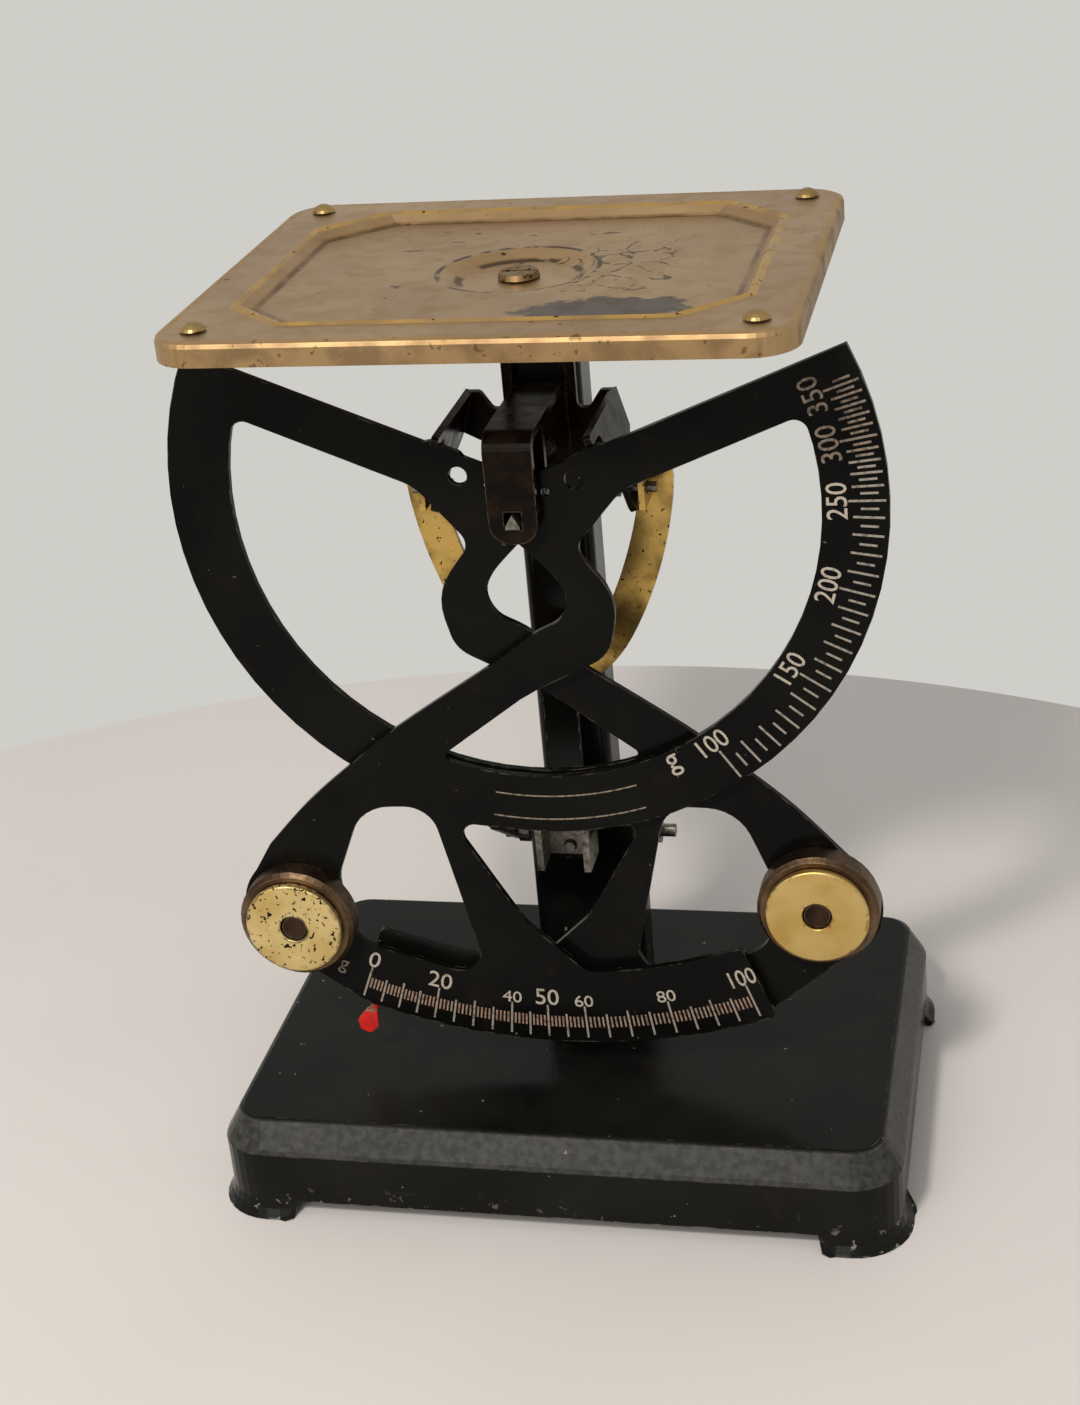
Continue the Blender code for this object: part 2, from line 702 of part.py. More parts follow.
def make_pillar():
    """Folded pillar with a floor between its sides, its rivet holes and the lever's pivot hole."""
    foot = BASE_TOP + FIT
    shoulder_top = PILLAR_SHOULDER + PILLAR_SHOULDER_RISE
    pillar = loft([
        channel_section(PILLAR_LOWER_WIDTH, foot),
        channel_section(PILLAR_LOWER_WIDTH, PILLAR_SHOULDER),
        channel_section(PILLAR_UPPER_WIDTH, shoulder_top),
        channel_section(PILLAR_UPPER_WIDTH, PILLAR_TOP),
    ])
    half = PILLAR_LOWER_WIDTH / 2 - PILLAR_WALL / 2
    floor = box(
        (-half, PILLAR_FRONT + PILLAR_WALL / 2, foot),
        (half, PILLAR_FRONT + PILLAR_DEPTH - PILLAR_WALL / 2, foot + PILLAR_WALL),
    )
    tools = []
    for x, y in pillar_screw_places():
        low = foot - OVERRUN
        tools.append(rod(PILLAR_SCREW_SHANK + FIT, (x, y, low), (x, y, foot + PILLAR_WALL + OVERRUN)))
    for height in strap_rivet_heights():
        start = (0.0, PILLAR_FRONT - OVERRUN, height)
        end = (0.0, PILLAR_FRONT + PILLAR_WALL + OVERRUN, height)
        tools.append(rod(STRAP_RIVET_RADIUS + FIT, start, end, RIVET_SIDES))
    reach = PILLAR_LOWER_WIDTH / 2 + OVERRUN
    start = (-reach, LEVER_PIVOT_Y, LEVER_PIVOT_Z)
    end = (reach, LEVER_PIVOT_Y, LEVER_PIVOT_Z)
    tools.append(rod(PIVOT_PIN_RADIUS + FIT, start, end))
    add_piece("pillar", cut(join(pillar, floor), *tools), BLACK)


def make_pillar_fasteners():
    """Two screws through the pillar's floor and the base, with a nut under each."""
    floor_top = BASE_TOP + FIT + PILLAR_WALL
    base_under = BASE_TOP - BASE_WALL
    screws = []
    nuts = []
    for x, y in pillar_screw_places():
        seat = floor_top + FIT
        nut_top = base_under - FIT
        nut_low = nut_top - PILLAR_NUT_HEIGHT
        shank = rod(PILLAR_SCREW_SHANK, (x, y, nut_low - OVERRUN), (x, y, seat + PILLAR_SCREW_HEAD_HEIGHT / 2))
        top = seat + PILLAR_SCREW_HEAD_HEIGHT
        head = rod(PILLAR_SCREW_HEAD, (x, y, seat), (x, y, top), end_radius=PILLAR_SCREW_HEAD - FIT)
        screws.append(join(shank, head))
        nut = hexagon(PILLAR_NUT, (x, y, nut_low), (x, y, nut_top))
        hole = rod(PILLAR_SCREW_SHANK + FIT, (x, y, nut_low - OVERRUN), (x, y, nut_top + OVERRUN))
        nuts.append(cut(nut, hole))
    add_pieces(("pillar_screw_left", "pillar_screw_right"), screws, STEEL)
    add_pieces(("pillar_nut_left", "pillar_nut_right"), nuts, STEEL)


def side_profile(points, width):
    """A profile in the YZ plane made into a body of the given width about X zero."""
    half = width / 2
    return loft([[(side, y, z) for y, z in points] for side in (-half, half)])


def make_bearing_strap():
    """Fixed strap: flange on the pillar, run over the hubs, rear cheek and front tongue."""
    top = PIVOT_HEIGHT + STRAP_RISE
    under = STRAP_UNDER
    low = PIVOT_HEIGHT - TONGUE_DROP
    flange_back = PILLAR_FRONT - FIT
    flange_front = flange_back - STRAP_SHEET
    flange_low = PIVOT_HEIGHT - STRAP_FLANGE_DROP
    cheek_back = CHEEK_FRONT + STRAP_SHEET
    outer_bend = STRAP_BEND + STRAP_SHEET
    profile = rounded_loop([
        (flange_back, flange_low, 0.0),
        (flange_back, top, outer_bend),
        (TONGUE_FRONT, top, outer_bend),
        (TONGUE_FRONT, low, 0.0),
        (TONGUE_BACK, low, 0.0),
        (TONGUE_BACK, under, STRAP_BEND),
        (CHEEK_FRONT, under, 0.0),
        (CHEEK_FRONT, low, 0.0),
        (cheek_back, low, 0.0),
        (cheek_back, under, 0.0),
        (flange_front, under, STRAP_BEND),
        (flange_front, flange_low, 0.0),
    ])
    strap = side_profile(profile, STRAP_WIDTH)
    bottom_edges = []
    for edge in strap.edges:
        along = edge.verts[1].co - edge.verts[0].co
        at_side = abs(abs(edge.verts[0].co.x) - STRAP_WIDTH / 2) < OVERRUN
        at_bottom = abs(edge.verts[0].co.z - low) < OVERRUN
        if abs(along.y) > abs(along.x) + abs(along.z) and at_side and at_bottom:
            bottom_edges.append(edge)
    bmesh.ops.bevel(strap, geom=bottom_edges, offset=TONGUE_ROUND, segments=5, profile=0.5, affect="EDGES")
    half = KNIFE_WIDTH / 2 + FIT
    window = box(
        (-half, TONGUE_FRONT - OVERRUN, PIVOT_HEIGHT - KNIFE_DEPTH - FIT),
        (half, cheek_back + OVERRUN, PIVOT_HEIGHT + FIT),
    )
    tools = [window]
    for height in strap_rivet_heights():
        start = (0.0, flange_front - OVERRUN, height)
        tools.append(rod(STRAP_RIVET_RADIUS + FIT, start, (0.0, flange_back + OVERRUN, height), RIVET_SIDES))
    add_piece("bearing_strap", cut(strap, *tools), DARK_STEEL)


def make_strap_rivets():
    """Two rivets through the strap's flange and the pillar."""
    flange_front = PILLAR_FRONT - FIT - STRAP_SHEET
    length = STRAP_SHEET + FIT + PILLAR_WALL + FIT * 2
    rivets = []
    for height in strap_rivet_heights():
        start = (0.0, flange_front - FIT, height)
        rivets.append(rivet(
            start, (0.0, 1.0, 0.0), STRAP_RIVET_RADIUS, length, STRAP_RIVET_HEAD, STRAP_RIVET_HEAD_HEIGHT,
        ))
    add_pieces(("strap_rivet_lower", "strap_rivet_upper"), rivets, DARK_STEEL)


def make_knife_edge():
    """Prism whose upper edge is the pivot line of both plates."""
    half = KNIFE_WIDTH / 2
    outline = [
        (0.0, 0.0),
        (half, -KNIFE_SHOULDER),
        (half, -KNIFE_DEPTH),
        (-half, -KNIFE_DEPTH),
        (-half, -KNIFE_SHOULDER),
    ]
    front = TONGUE_FRONT - KNIFE_PROUD
    back = CHEEK_FRONT + STRAP_SHEET + KNIFE_PROUD
    prism = loft([[(x, y, PIVOT_HEIGHT + z) for x, z in outline] for y in (front, back)])
    add_piece("knife_edge", prism, STEEL)


def ring_form(outer, inner, start, end, sides=PIN_SIDES):
    """A washer or bush between two points."""
    start = Vector(start)
    end = Vector(end)
    past = (end - start).normalized() * OVERRUN
    return cut(rod(outer, start, end, sides), rod(inner, start - past, end + past, sides))


def make_spacer_washers():
    """Three loose washers on the prism, which keep the plates apart."""
    front_face = FRONT_PLATE_Y - PLATE_SHEET / 2
    front_back = FRONT_PLATE_Y + PLATE_SHEET / 2
    rear_face = REAR_PLATE_Y - PLATE_SHEET / 2
    rear_back = REAR_PLATE_Y + PLATE_SHEET / 2
    washers = []
    for start, end in ((TONGUE_BACK, front_face), (front_back, rear_face), (rear_back, CHEEK_FRONT)):
        low = (0.0, start + FIT, PIVOT_HEIGHT)
        high = (0.0, end - FIT, PIVOT_HEIGHT)
        washers.append(ring_form(WASHER_RADIUS, WASHER_HOLE, low, high))
    add_pieces(("front_washer", "middle_washer", "rear_washer"), washers, STEEL)


def along_arm(distance, offset):
    """A point at a distance along the arm's middle line, and beside it."""
    across = ARM_ANGLE + math.pi / 2
    return (
        distance * math.cos(ARM_ANGLE) + offset * math.cos(across),
        distance * math.sin(ARM_ANGLE) + offset * math.sin(across),
    )


def plate_outline(lobe_z):
    """Outer edge of the front plate, round the right way, from the tip of its arm."""
    down = -math.pi / 2
    half = ARM_WIDTH / 2
    origin = (0.0, 0.0)
    lobe = (-LOBE_X, lobe_z)
    tip_angle = ARM_ANGLE + math.asin(half / RING_RADIUS)
    path = arc(origin, RING_RADIUS, tip_angle, -RING_END)
    crotch = scaled(CROTCH_SHARES, RING_RADIUS)
    band_inner_start = arc(origin, BAND_INNER, down + BAND_END / 4, down + BAND_END - ARC_STEP / 2)
    path += rounded([path[-1], *crotch, band_inner_start[0]])
    path += band_inner_start
    end_inner = arc(origin, BAND_INNER, down + BAND_END, down + BAND_END)[0]
    end_outer = arc(origin, BAND_RADIUS, down + BAND_END, down + BAND_END)[0]
    band_outer = arc(origin, BAND_RADIUS, down + BAND_END - ARC_STEP / 2, down - BAND_LEFT)
    path += rounded([band_inner_start[-1], (*end_inner, BAND_CORNER), (*end_outer, BAND_CORNER), band_outer[0]])
    path += band_outer
    flank = scaled(FLANK_SHARES, RING_RADIUS)
    rise = Vector(flank[1]) - Vector(flank[0])
    flank_normal = math.atan2(rise.y, rise.x) + math.pi / 2 - math.tau
    path += arc(lobe, LOBE_RADIUS, down - BAND_LEFT, flank_normal)
    path += smooth(flank + scaled(EYE_SHARES, RING_RADIUS))
    hub_end = ARM_ANGLE + math.pi / 2 + math.acos(half / HUB_RADIUS) - math.tau
    path += arc(origin, HUB_RADIUS, down - math.pi / 4, hub_end)
    path += [
        along_arm(SEAT_START, half),
        along_arm(SEAT_START + SEAT_RAMP, half + SEAT_HEIGHT),
        along_arm(SEAT_END - SEAT_RAMP, half + SEAT_HEIGHT),
        along_arm(SEAT_END, half),
    ]
    return path


def ring_window():
    """The large window between arm, ring, strip and leg."""
    origin = (0.0, 0.0)
    half = ARM_WIDTH / 2
    meet = ARM_ANGLE - math.asin(half / RING_INNER)
    corner = arc(origin, RING_INNER, meet, meet)[0]
    inner = arc(origin, RING_INNER, meet - ARC_STEP * CORNER_STEPS_SHARE, -RING_INNER_END)
    before = along_arm(RING_INNER / 2, -half)
    path = rounded([before, (*corner, ARM_CORNER), inner[0]])
    path += inner
    rest = scaled(STRIP_SHARES, RING_RADIUS) + scaled(LEG_SHARES, RING_RADIUS)
    path += rounded([inner[-1], *rest, before])
    return path


def hub_hole():
    """Half-round hole whose flat upper side rests on the knife edge."""
    rise = math.asin(FIT / HUB_HOLE)
    return arc((0.0, 0.0), HUB_HOLE, rise, -math.pi - rise, FINE_STEP)


def plate_form(weight_z, lobe_z):
    """The front plate about the pivot, with its bolt hole at the weight's height."""
    loops = [
        plate_outline(lobe_z),
        ring_window(),
        rounded_loop(scaled(WINDOW_SHARES, RING_RADIUS)),
        hub_hole(),
        circle(BIG_HOLE_PLACE, BIG_HOLE, RIVET_SIDES),
        circle(SMALL_HOLE_PLACE, SMALL_HOLE, RIVET_SIDES),
        circle((-WEIGHT_X, weight_z), BOLT_RADIUS + FIT, PIN_SIDES),
    ]
    return flat_outline(loops, PLATE_SHEET)


def weight_forms(weight_z):
    """Drum, brass disc, backing washer and bolt of the front plate's weight, about the pivot."""
    face = -PLATE_SHEET / 2 - FIT
    drum_front = face - DRUM_DEPTH
    disc_back = drum_front - FIT
    disc_front = disc_back - DISC_DEPTH
    back = PLATE_SHEET / 2 + FIT
    back_end = back + BACKING_DEPTH
    bore = BOLT_RADIUS + FIT
    drum = turned([
        (bore, face),
        (bore, drum_front),
        (DRUM_RADIUS - DRUM_CHAMFER, drum_front),
        (DRUM_RADIUS, drum_front + DRUM_CHAMFER),
        (DRUM_RADIUS, face),
    ])
    disc = turned([
        (bore, disc_back),
        (bore, disc_front),
        (DISC_RADIUS - DISC_CHAMFER, disc_front),
        (DISC_RADIUS, disc_front + DISC_CHAMFER),
        (DISC_RADIUS, disc_back),
    ])
    backing = turned([
        (bore, back),
        (BACKING_RADIUS, back),
        (BACKING_RADIUS, back_end - DISC_CHAMFER),
        (BACKING_RADIUS - DISC_CHAMFER, back_end),
        (bore, back_end),
    ])
    seat = back_end + FIT
    shank = rod(BOLT_RADIUS, (0.0, disc_front + BOLT_SUNK, 0.0), (0.0, seat + BOLT_HEAD_HEIGHT / 2, 0.0))
    end = (0.0, seat + BOLT_HEAD_HEIGHT, 0.0)
    head = rod(BOLT_HEAD, (0.0, seat, 0.0), end, end_radius=BOLT_HEAD - DISC_CHAMFER)
    place = (-WEIGHT_X, 0.0, weight_z)
    forms = {"drum": drum, "disc": disc, "backing": backing, "bolt": join(shank, head)}
    return {name: moved(form, place) for name, form in forms.items()}


def make_pendulum(side, weight_z, lobe_z, group):
    """One pendulum: its plate and its counterweight."""
    finishes = {"drum": DARK_STEEL, "disc": BRASS, "backing": DARK_STEEL, "bolt": DARK_STEEL}
    plate = plate_form(weight_z, lobe_z)
    weights = weight_forms(weight_z)
    if side == "rear":
        plate = mirrored(plate)
        weights = {name: mirrored(form) for name, form in weights.items()}
    add_piece(side + "_plate", plate, BLACK, group)
    for name, form in weights.items():
        add_piece(side + "_weight_" + name, form, finishes[name], group)


def pointer_rivet_places():
    """Two rivets along the pointer's stem, as distances from the pivot."""
    return (POINTER_TOP_RADIUS + POINTER_WIDTH / 4, POINTER_TOP_RADIUS + POINTER_WIDTH)


def polar(radius, across):
    """A point on the pointer's line, left of straight down, with a shift across it."""
    angle = -math.pi / 2 - POINTER_ANGLE
    return (
        radius * math.cos(angle) - across * math.sin(angle),
        radius * math.sin(angle) + across * math.cos(angle),
    )


def polar_block(inner, outer, width, low_y, high_y):
    """A block on the pointer's line between two distances from the pivot."""
    half = width / 2
    corners = [polar(inner, -half), polar(inner, half), polar(outer, half), polar(outer, -half)]
    return loft([[(x, y, z) for x, z in corners] for y in (low_y, high_y)])


def make_pointer(group):
    """Red pointer bent from one strip: riveted stem, bridge under the bands, flag in front of them."""
    half = POINTER_WIDTH / 2
    stem = POINTER_STEM_WIDTH / 2
    foot = POINTER_FOOT_WIDTH / 2
    corner = POINTER_WIDTH / 5
    flag_top = POINTER_BRIDGE_RADIUS - FIT
    bridge_low = POINTER_BRIDGE_RADIUS + POINTER_SHEET
    stem_low = bridge_low + FIT
    stem_loop = rounded_loop([
        (*polar(POINTER_TOP_RADIUS, -half), corner),
        (*polar(POINTER_TOP_RADIUS, half), corner),
        (*polar(POINTER_NECK_RADIUS, half), corner),
        (*polar(POINTER_NECK_RADIUS + half, stem), 0.0),
        (*polar(stem_low, stem), 0.0),
        (*polar(stem_low, -stem), 0.0),
        (*polar(POINTER_NECK_RADIUS + half, -stem), 0.0),
        (*polar(POINTER_NECK_RADIUS, -half), corner),
    ])
    flag_loop = rounded_loop([
        (*polar(flag_top, -stem), 0.0),
        (*polar(flag_top, stem), 0.0),
        (*polar(POINTER_FLAG_RADIUS, half), corner),
        (*polar(POINTER_FOOT_RADIUS, foot), corner),
        (*polar(POINTER_FOOT_RADIUS, -foot), corner),
        (*polar(POINTER_FLAG_RADIUS, -half), corner),
    ])
    holes = [circle(polar(radius, 0.0), POINTER_RIVET + FIT, RIVET_SIDES) for radius in pointer_rivet_places()]
    stem_y = PLATE_SHEET / 2 + FIT + POINTER_SHEET / 2
    front_face = FRONT_PLATE_Y - REAR_PLATE_Y - PLATE_SHEET / 2
    flag_y = front_face - POINTER_FRONT_GAP - POINTER_SHEET / 2
    stem_form = moved(flat_outline([stem_loop, *holes], POINTER_SHEET), (0.0, stem_y, 0.0))
    flag_form = moved(flat_outline([flag_loop], POINTER_SHEET), (0.0, flag_y, 0.0))
    bridge = polar_block(POINTER_BRIDGE_RADIUS, bridge_low, POINTER_BRIDGE_WIDTH, flag_y, stem_y)
    add_piece("zero_pointer", join(bridge, stem_form, flag_form), RED, group)


def cut_pointer_holes():
    """Rivet holes through the rear plate's band, and the rivets in them."""
    plate = bpy.data.objects["rear_plate"]
    form = bmesh.new()
    form.from_mesh(plate.data)
    tools = []
    rivets = []
    front = -PLATE_SHEET / 2
    length = PLATE_SHEET + FIT + POINTER_SHEET + FIT * 2
    for radius in pointer_rivet_places():
        x, z = polar(radius, 0.0)
        tools.append(rod(POINTER_RIVET + FIT, (x, front - OVERRUN, z), (x, -front + OVERRUN, z), RIVET_SIDES))
        start = (x, front - FIT, z)
        rivets.append(rivet(
            start, (0.0, 1.0, 0.0), POINTER_RIVET, length, POINTER_RIVET_HEAD, POINTER_RIVET_HEAD_HEIGHT,
        ))
    result = cut(form, *tools)
    colour = plate.data.materials[0]
    group = plate.parent
    bpy.data.objects.remove(plate, do_unlink=True)
    add_piece("rear_plate", result, colour, group)
    add_pieces(("pointer_rivet_upper", "pointer_rivet_lower"), rivets, DARK_STEEL, group)


def pan_ring(kind, inset, height):
    """One loop of the pan: a rounded rectangle, a rectangle with clipped corners, or a circle."""
    points = []
    for corner in range(4):
        for index in range(CORNER_POINTS):
            share = index / (CORNER_POINTS - 1)
            if kind == "circle":
                angle = math.pi / 2 * (corner + (index + 0.5) / CORNER_POINTS)
                points.append((inset * math.cos(angle), inset * math.sin(angle), height))
                continue
            reach_x, reach_y = PAN_WIDTH / 2 - inset, PAN_DEPTH / 2 - inset
            if corner % 2:
                reach_x, reach_y = reach_y, reach_x
            if kind == "rounded":
                radius = PAN_CORNER_RADIUS - inset
                angle = math.pi / 2 * share
                place = Vector((
                    reach_x - radius + radius * math.cos(angle),
                    reach_y - radius + radius * math.sin(angle),
                ))
            else:
                place = Vector((reach_x - PAN_CLIP * share, reach_y - PAN_CLIP * (1 - share)))
            place = Matrix.Rotation(corner * math.pi / 2, 2) @ place
            points.append((*place, height))
    return points


def pan_skin():
    """Upper surface of the pan from the turned-down edge to the hole in its dish."""
    recess = -PAN_RECESS
    edge = PAN_EDGE_ROUND * EDGE_ROUND_SHARE
    bead = PAN_BORDER + PAN_BEAD_WIDTH / 2
    slope_end = PAN_BORDER + PAN_BEAD_WIDTH + PAN_RECESS_SLOPE
    rings = [
        pan_ring("rounded", 0.0, -PAN_EDGE_DROP),
        pan_ring("rounded", 0.0, -PAN_EDGE_ROUND),
        pan_ring("rounded", edge, -edge),
        pan_ring("rounded", PAN_EDGE_ROUND, 0.0),
        pan_ring("clipped", PAN_BORDER, 0.0),
        pan_ring("clipped", bead, PAN_BEAD_HEIGHT),
        pan_ring("clipped", PAN_BORDER + PAN_BEAD_WIDTH, 0.0),
        pan_ring("clipped", slope_end, recess),
    ]
    for slope_share, depth_share in DISH_SHARES:
        radius = DISH_RADIUS - DISH_SLOPE * slope_share
        rings.append(pan_ring("circle", radius, recess - DISH_DEPTH * depth_share))
    rings.append(pan_ring("circle", PAN_SCREW_SHANK + FIT, recess - DISH_DEPTH))
    form = bmesh.new()
    loops = [[form.verts.new(point) for point in ring] for ring in rings]
    for ring, following in zip(loops, loops[1:]):
        count = len(ring)
        for k in range(count):
            form.faces.new((ring[k], ring[(k + 1) % count], following[(k + 1) % count], following[k]))
    return form


def stud_places():
    """Where the four studs stand, from the pan's middle."""
    x = PAN_WIDTH / 2 - STUD_INSET
    y = PAN_DEPTH / 2 - STUD_INSET
    return [(side_x * x, side_y * y) for side_x in (-1, 1) for side_y in (-1, 1)]


def make_pan(group):
    """Pan tray with four stud holes. The group's origin is the middle of the pan's upper face."""
    tray = thicken(pan_skin(), PAN_SHEET)
    bmesh.ops.dissolve_limit(tray, angle_limit=FLAT_ANGLE, verts=tray.verts, edges=tray.edges)
    tools = []
    for x, y in stud_places():
        tools.append(rod(STUD_SHANK + FIT, (x, y, -PAN_SHEET - OVERRUN), (x, y, OVERRUN), RIVET_SIDES))
    add_piece("pan_tray", cut(tray, *tools), BRASS, group)


def dome(radius, rise, place):
    """A low round dome that stands on a flat face, with its middle at place."""
    place = Vector(place)
    sphere = (radius**2 + rise**2) / (2 * rise)
    reach = math.asin(radius / sphere)
    sections = []
    for share in DOME_SHARES:
        angle = reach * share
        ring = sphere * math.sin(angle)
        height = sphere * math.cos(angle) - sphere + rise
        sections.append([place + Vector((x, z, height)) for x, z in circle((0.0, 0.0), ring, PIN_SIDES)])
    return loft(sections)


def make_pan_fasteners(group):
    """Four domed studs, the slotted middle screw and its nut."""
    studs = []
    for x, y in stud_places():
        head = dome(STUD_RADIUS, STUD_DOME, (x, y, FIT))
        shank = rod(STUD_SHANK, (x, y, -PAN_SHEET - FIT - STUD_DOME / 4), (x, y, FIT + STUD_DOME / 2), RIVET_SIDES)
        start = (x, y, -PAN_SHEET - FIT)
        foot = rod(STUD_RADIUS, start, (x, y, -PAN_SHEET - FIT - STUD_DOME / 2), RIVET_SIDES)
        studs.append(join(shank, head, foot))
    names = [f"pan_stud_{end}_{side}" for side in ("left", "right") for end in ("front", "back")]
    add_pieces(names, studs, BRASS, group)
    seat = -PAN_RECESS - DISH_DEPTH + FIT
    top = seat + PAN_SCREW_HEAD_HEIGHT
    nut_top = TAB_TOP - YOKE_SHEET - FIT - PAN_TOP
    nut_low = nut_top - PAN_NUT_HEIGHT
    shank = rod(PAN_SCREW_SHANK, (0.0, 0.0, nut_low - OVERRUN), (0.0, 0.0, seat + PAN_SCREW_HEAD_HEIGHT / 2))
    head = rod(PAN_SCREW_HEAD, (0.0, 0.0, seat), (0.0, 0.0, top), ROUND_SIDES, PAN_SCREW_HEAD - FIT)
    half_slot = PAN_SCREW_SLOT / 2
    slot = box(
        (-PAN_SCREW_HEAD - OVERRUN, -half_slot, top - PAN_SCREW_HEAD_HEIGHT / 2),
        (PAN_SCREW_HEAD + OVERRUN, half_slot, top + OVERRUN),
    )
    add_piece("pan_screw", cut(join(shank, head), slot), BRASS, group)
    nut = hexagon(PAN_NUT, (0.0, 0.0, nut_low), (0.0, 0.0, nut_top))
    hole = rod(PAN_SCREW_SHANK + FIT, (0.0, 0.0, nut_low - OVERRUN), (0.0, 0.0, nut_top + OVERRUN))
    add_piece("pan_nut", cut(nut, hole), STEEL, group)


def yoke_web():
    """Neck and web of the yoke, with the slot that lets the fixed strap through."""
    neck = YOKE_NECK_WIDTH / 2
    slot = STRAP_WIDTH / 2 + YOKE_SLOT_MARGIN
    slot_top = PIVOT_HEIGHT + STRAP_RISE + YOKE_TRAVEL + YOKE_SLOT_MARGIN
    spread = math.tan(EAR_TILT)
    dip = EAR_DEPTH * WEB_DIP_SHARE
    side_drop = EAR_DEPTH * WEB_SIDE_SHARE
    bottom = EAR_TOP - EAR_DEPTH * WEB_BOTTOM_SHARE
    ear = EAR_HALF_WIDTH + YOKE_SHEET / 2
    shoulder = (neck + ear) / 2
    half = [
        (slot, bottom, 0.0),
        ((slot + neck) / 2, bottom, dip / 3),
        (ear + side_drop * spread, EAR_TOP - side_drop, 0.0),
        (ear, EAR_TOP, 0.0),
        (shoulder + dip / 3, EAR_TOP, dip / 3),
        (shoulder - dip / 3, EAR_TOP - dip, dip / 3),
        (neck, EAR_TOP - dip, dip / 2),
        (neck, TAB_TOP, 0.0),
    ]
    left = [(-x, z, r) for x, z, r in reversed(half)]
    slot_end = [(-slot, bottom, 0.0), (-slot, slot_top, slot / 2), (slot, slot_top, slot / 2)]
    loop = rounded_loop(half + left[:-1] + slot_end)
    middle = (YOKE_FRONT + YOKE_BACK) / 2
    return moved(flat_outline([loop], YOKE_SHEET), (0.0, middle, 0.0))


def yoke_ear():
    """The right ear: a slanted sheet with a foot over the arm and a lug for the bow's pin."""
    foot_drop = (EAR_TOP - EAR_FOOT_BOTTOM) / math.cos(EAR_TILT)
    corner = EAR_DEPTH / 12
    path = [(YOKE_BACK, 0.0, 0.0), (EAR_FOOT_FRONT, 0.0, foot_drop / 2), (EAR_FOOT_FRONT, -foot_drop, foot_drop / 3)]
    path.append((EAR_FOOT_BACK, -foot_drop, corner))
    for y_share, z_share in reversed(EAR_SHARES):
        path.append((EAR_DEPTH * y_share, -EAR_DEPTH * z_share, corner))
    path[-1] = (YOKE_BACK, path[-1][1], 0.0)
    loop = rounded_loop(path)
    sheet = flat_outline([loop], YOKE_SHEET)
    upright = Matrix.Rotation(math.pi / 2, 4, "Z")
    lean = Matrix.Rotation(-EAR_TILT, 4, "Y")
    moved(sheet, (0.0, 0.0, 0.0), lean @ upright)
    return moved(sheet, (EAR_HALF_WIDTH + YOKE_SHEET / 2, 0.0, EAR_TOP))


def make_yoke(group):
    """Carrier yoke with its top tab under the pan."""
    neck = YOKE_NECK_WIDTH / 2
    tab = box((-neck, YOKE_TAB_FRONT, TAB_TOP - YOKE_SHEET), (neck, YOKE_BACK, TAB_TOP))
    form = join(yoke_web(), tab, yoke_ear(), mirrored(yoke_ear()))
    low = TAB_TOP - YOKE_SHEET - OVERRUN
    hole = rod(PAN_SCREW_SHANK + FIT, (0.0, PAN_CENTRE_Y, low), (0.0, PAN_CENTRE_Y, TAB_TOP + OVERRUN))
    pin_z = EAR_TOP - EAR_PIN_DROP
    reach = BOW_PIN_END + OVERRUN
    pin_hole = rod(BOW_PIN_RADIUS + FIT, (-reach, EAR_PIN_Y, pin_z), (reach, EAR_PIN_Y, pin_z), RIVET_SIDES)
    form = cut(form, hole, pin_hole)
    moved(form, (0.0, -PAN_CENTRE_Y, -PAN_TOP))
    add_piece("pan_yoke", form, DARK_STEEL, group)


def bow_point(span_share, height_share):
    """A point on the bow's middle line, as shares of its half span and its height."""
    return Vector((BOW_HALF_SPAN * span_share, BOW_BOTTOM + (BOW_TOP - BOW_BOTTOM) * height_share))


def bow_outline():
    """Outline of the flat bow: a strip of its own width along a smooth middle line."""
    right = [tuple(bow_point(*shares)) for shares in BOW_SHARES]
    left = [(-x, z) for x, z in reversed(right[:-1])]
    line = [Vector(point) for point in smooth(right + left)]
    outer = []
    inner = []
    for index, here in enumerate(line):
        before = line[max(index - 1, 0)]
        after = line[min(index + 1, len(line) - 1)]
        along = (after - before).normalized()
        across = Vector((along.y, -along.x))
        height_share = min(1.0, max(0.0, (here.y - BOW_BOTTOM) / (BOW_TOP - BOW_BOTTOM)))
        narrow = height_share**BOW_TAPER
        half = (BOW_WIDTH + (BOW_TOP_WIDTH - BOW_WIDTH) * narrow) / 2
        outer.append(tuple(here - across * half))
        inner.append(tuple(here + across * half))
    return outer + inner[::-1]


def guide_rivet_places():
    """Rivets that hold the guide strip on the bow's bottom."""
    return [(0.0, BOW_BOTTOM + side * GUIDE_RIVET_SPACING / 2) for side in (-1, 1)]


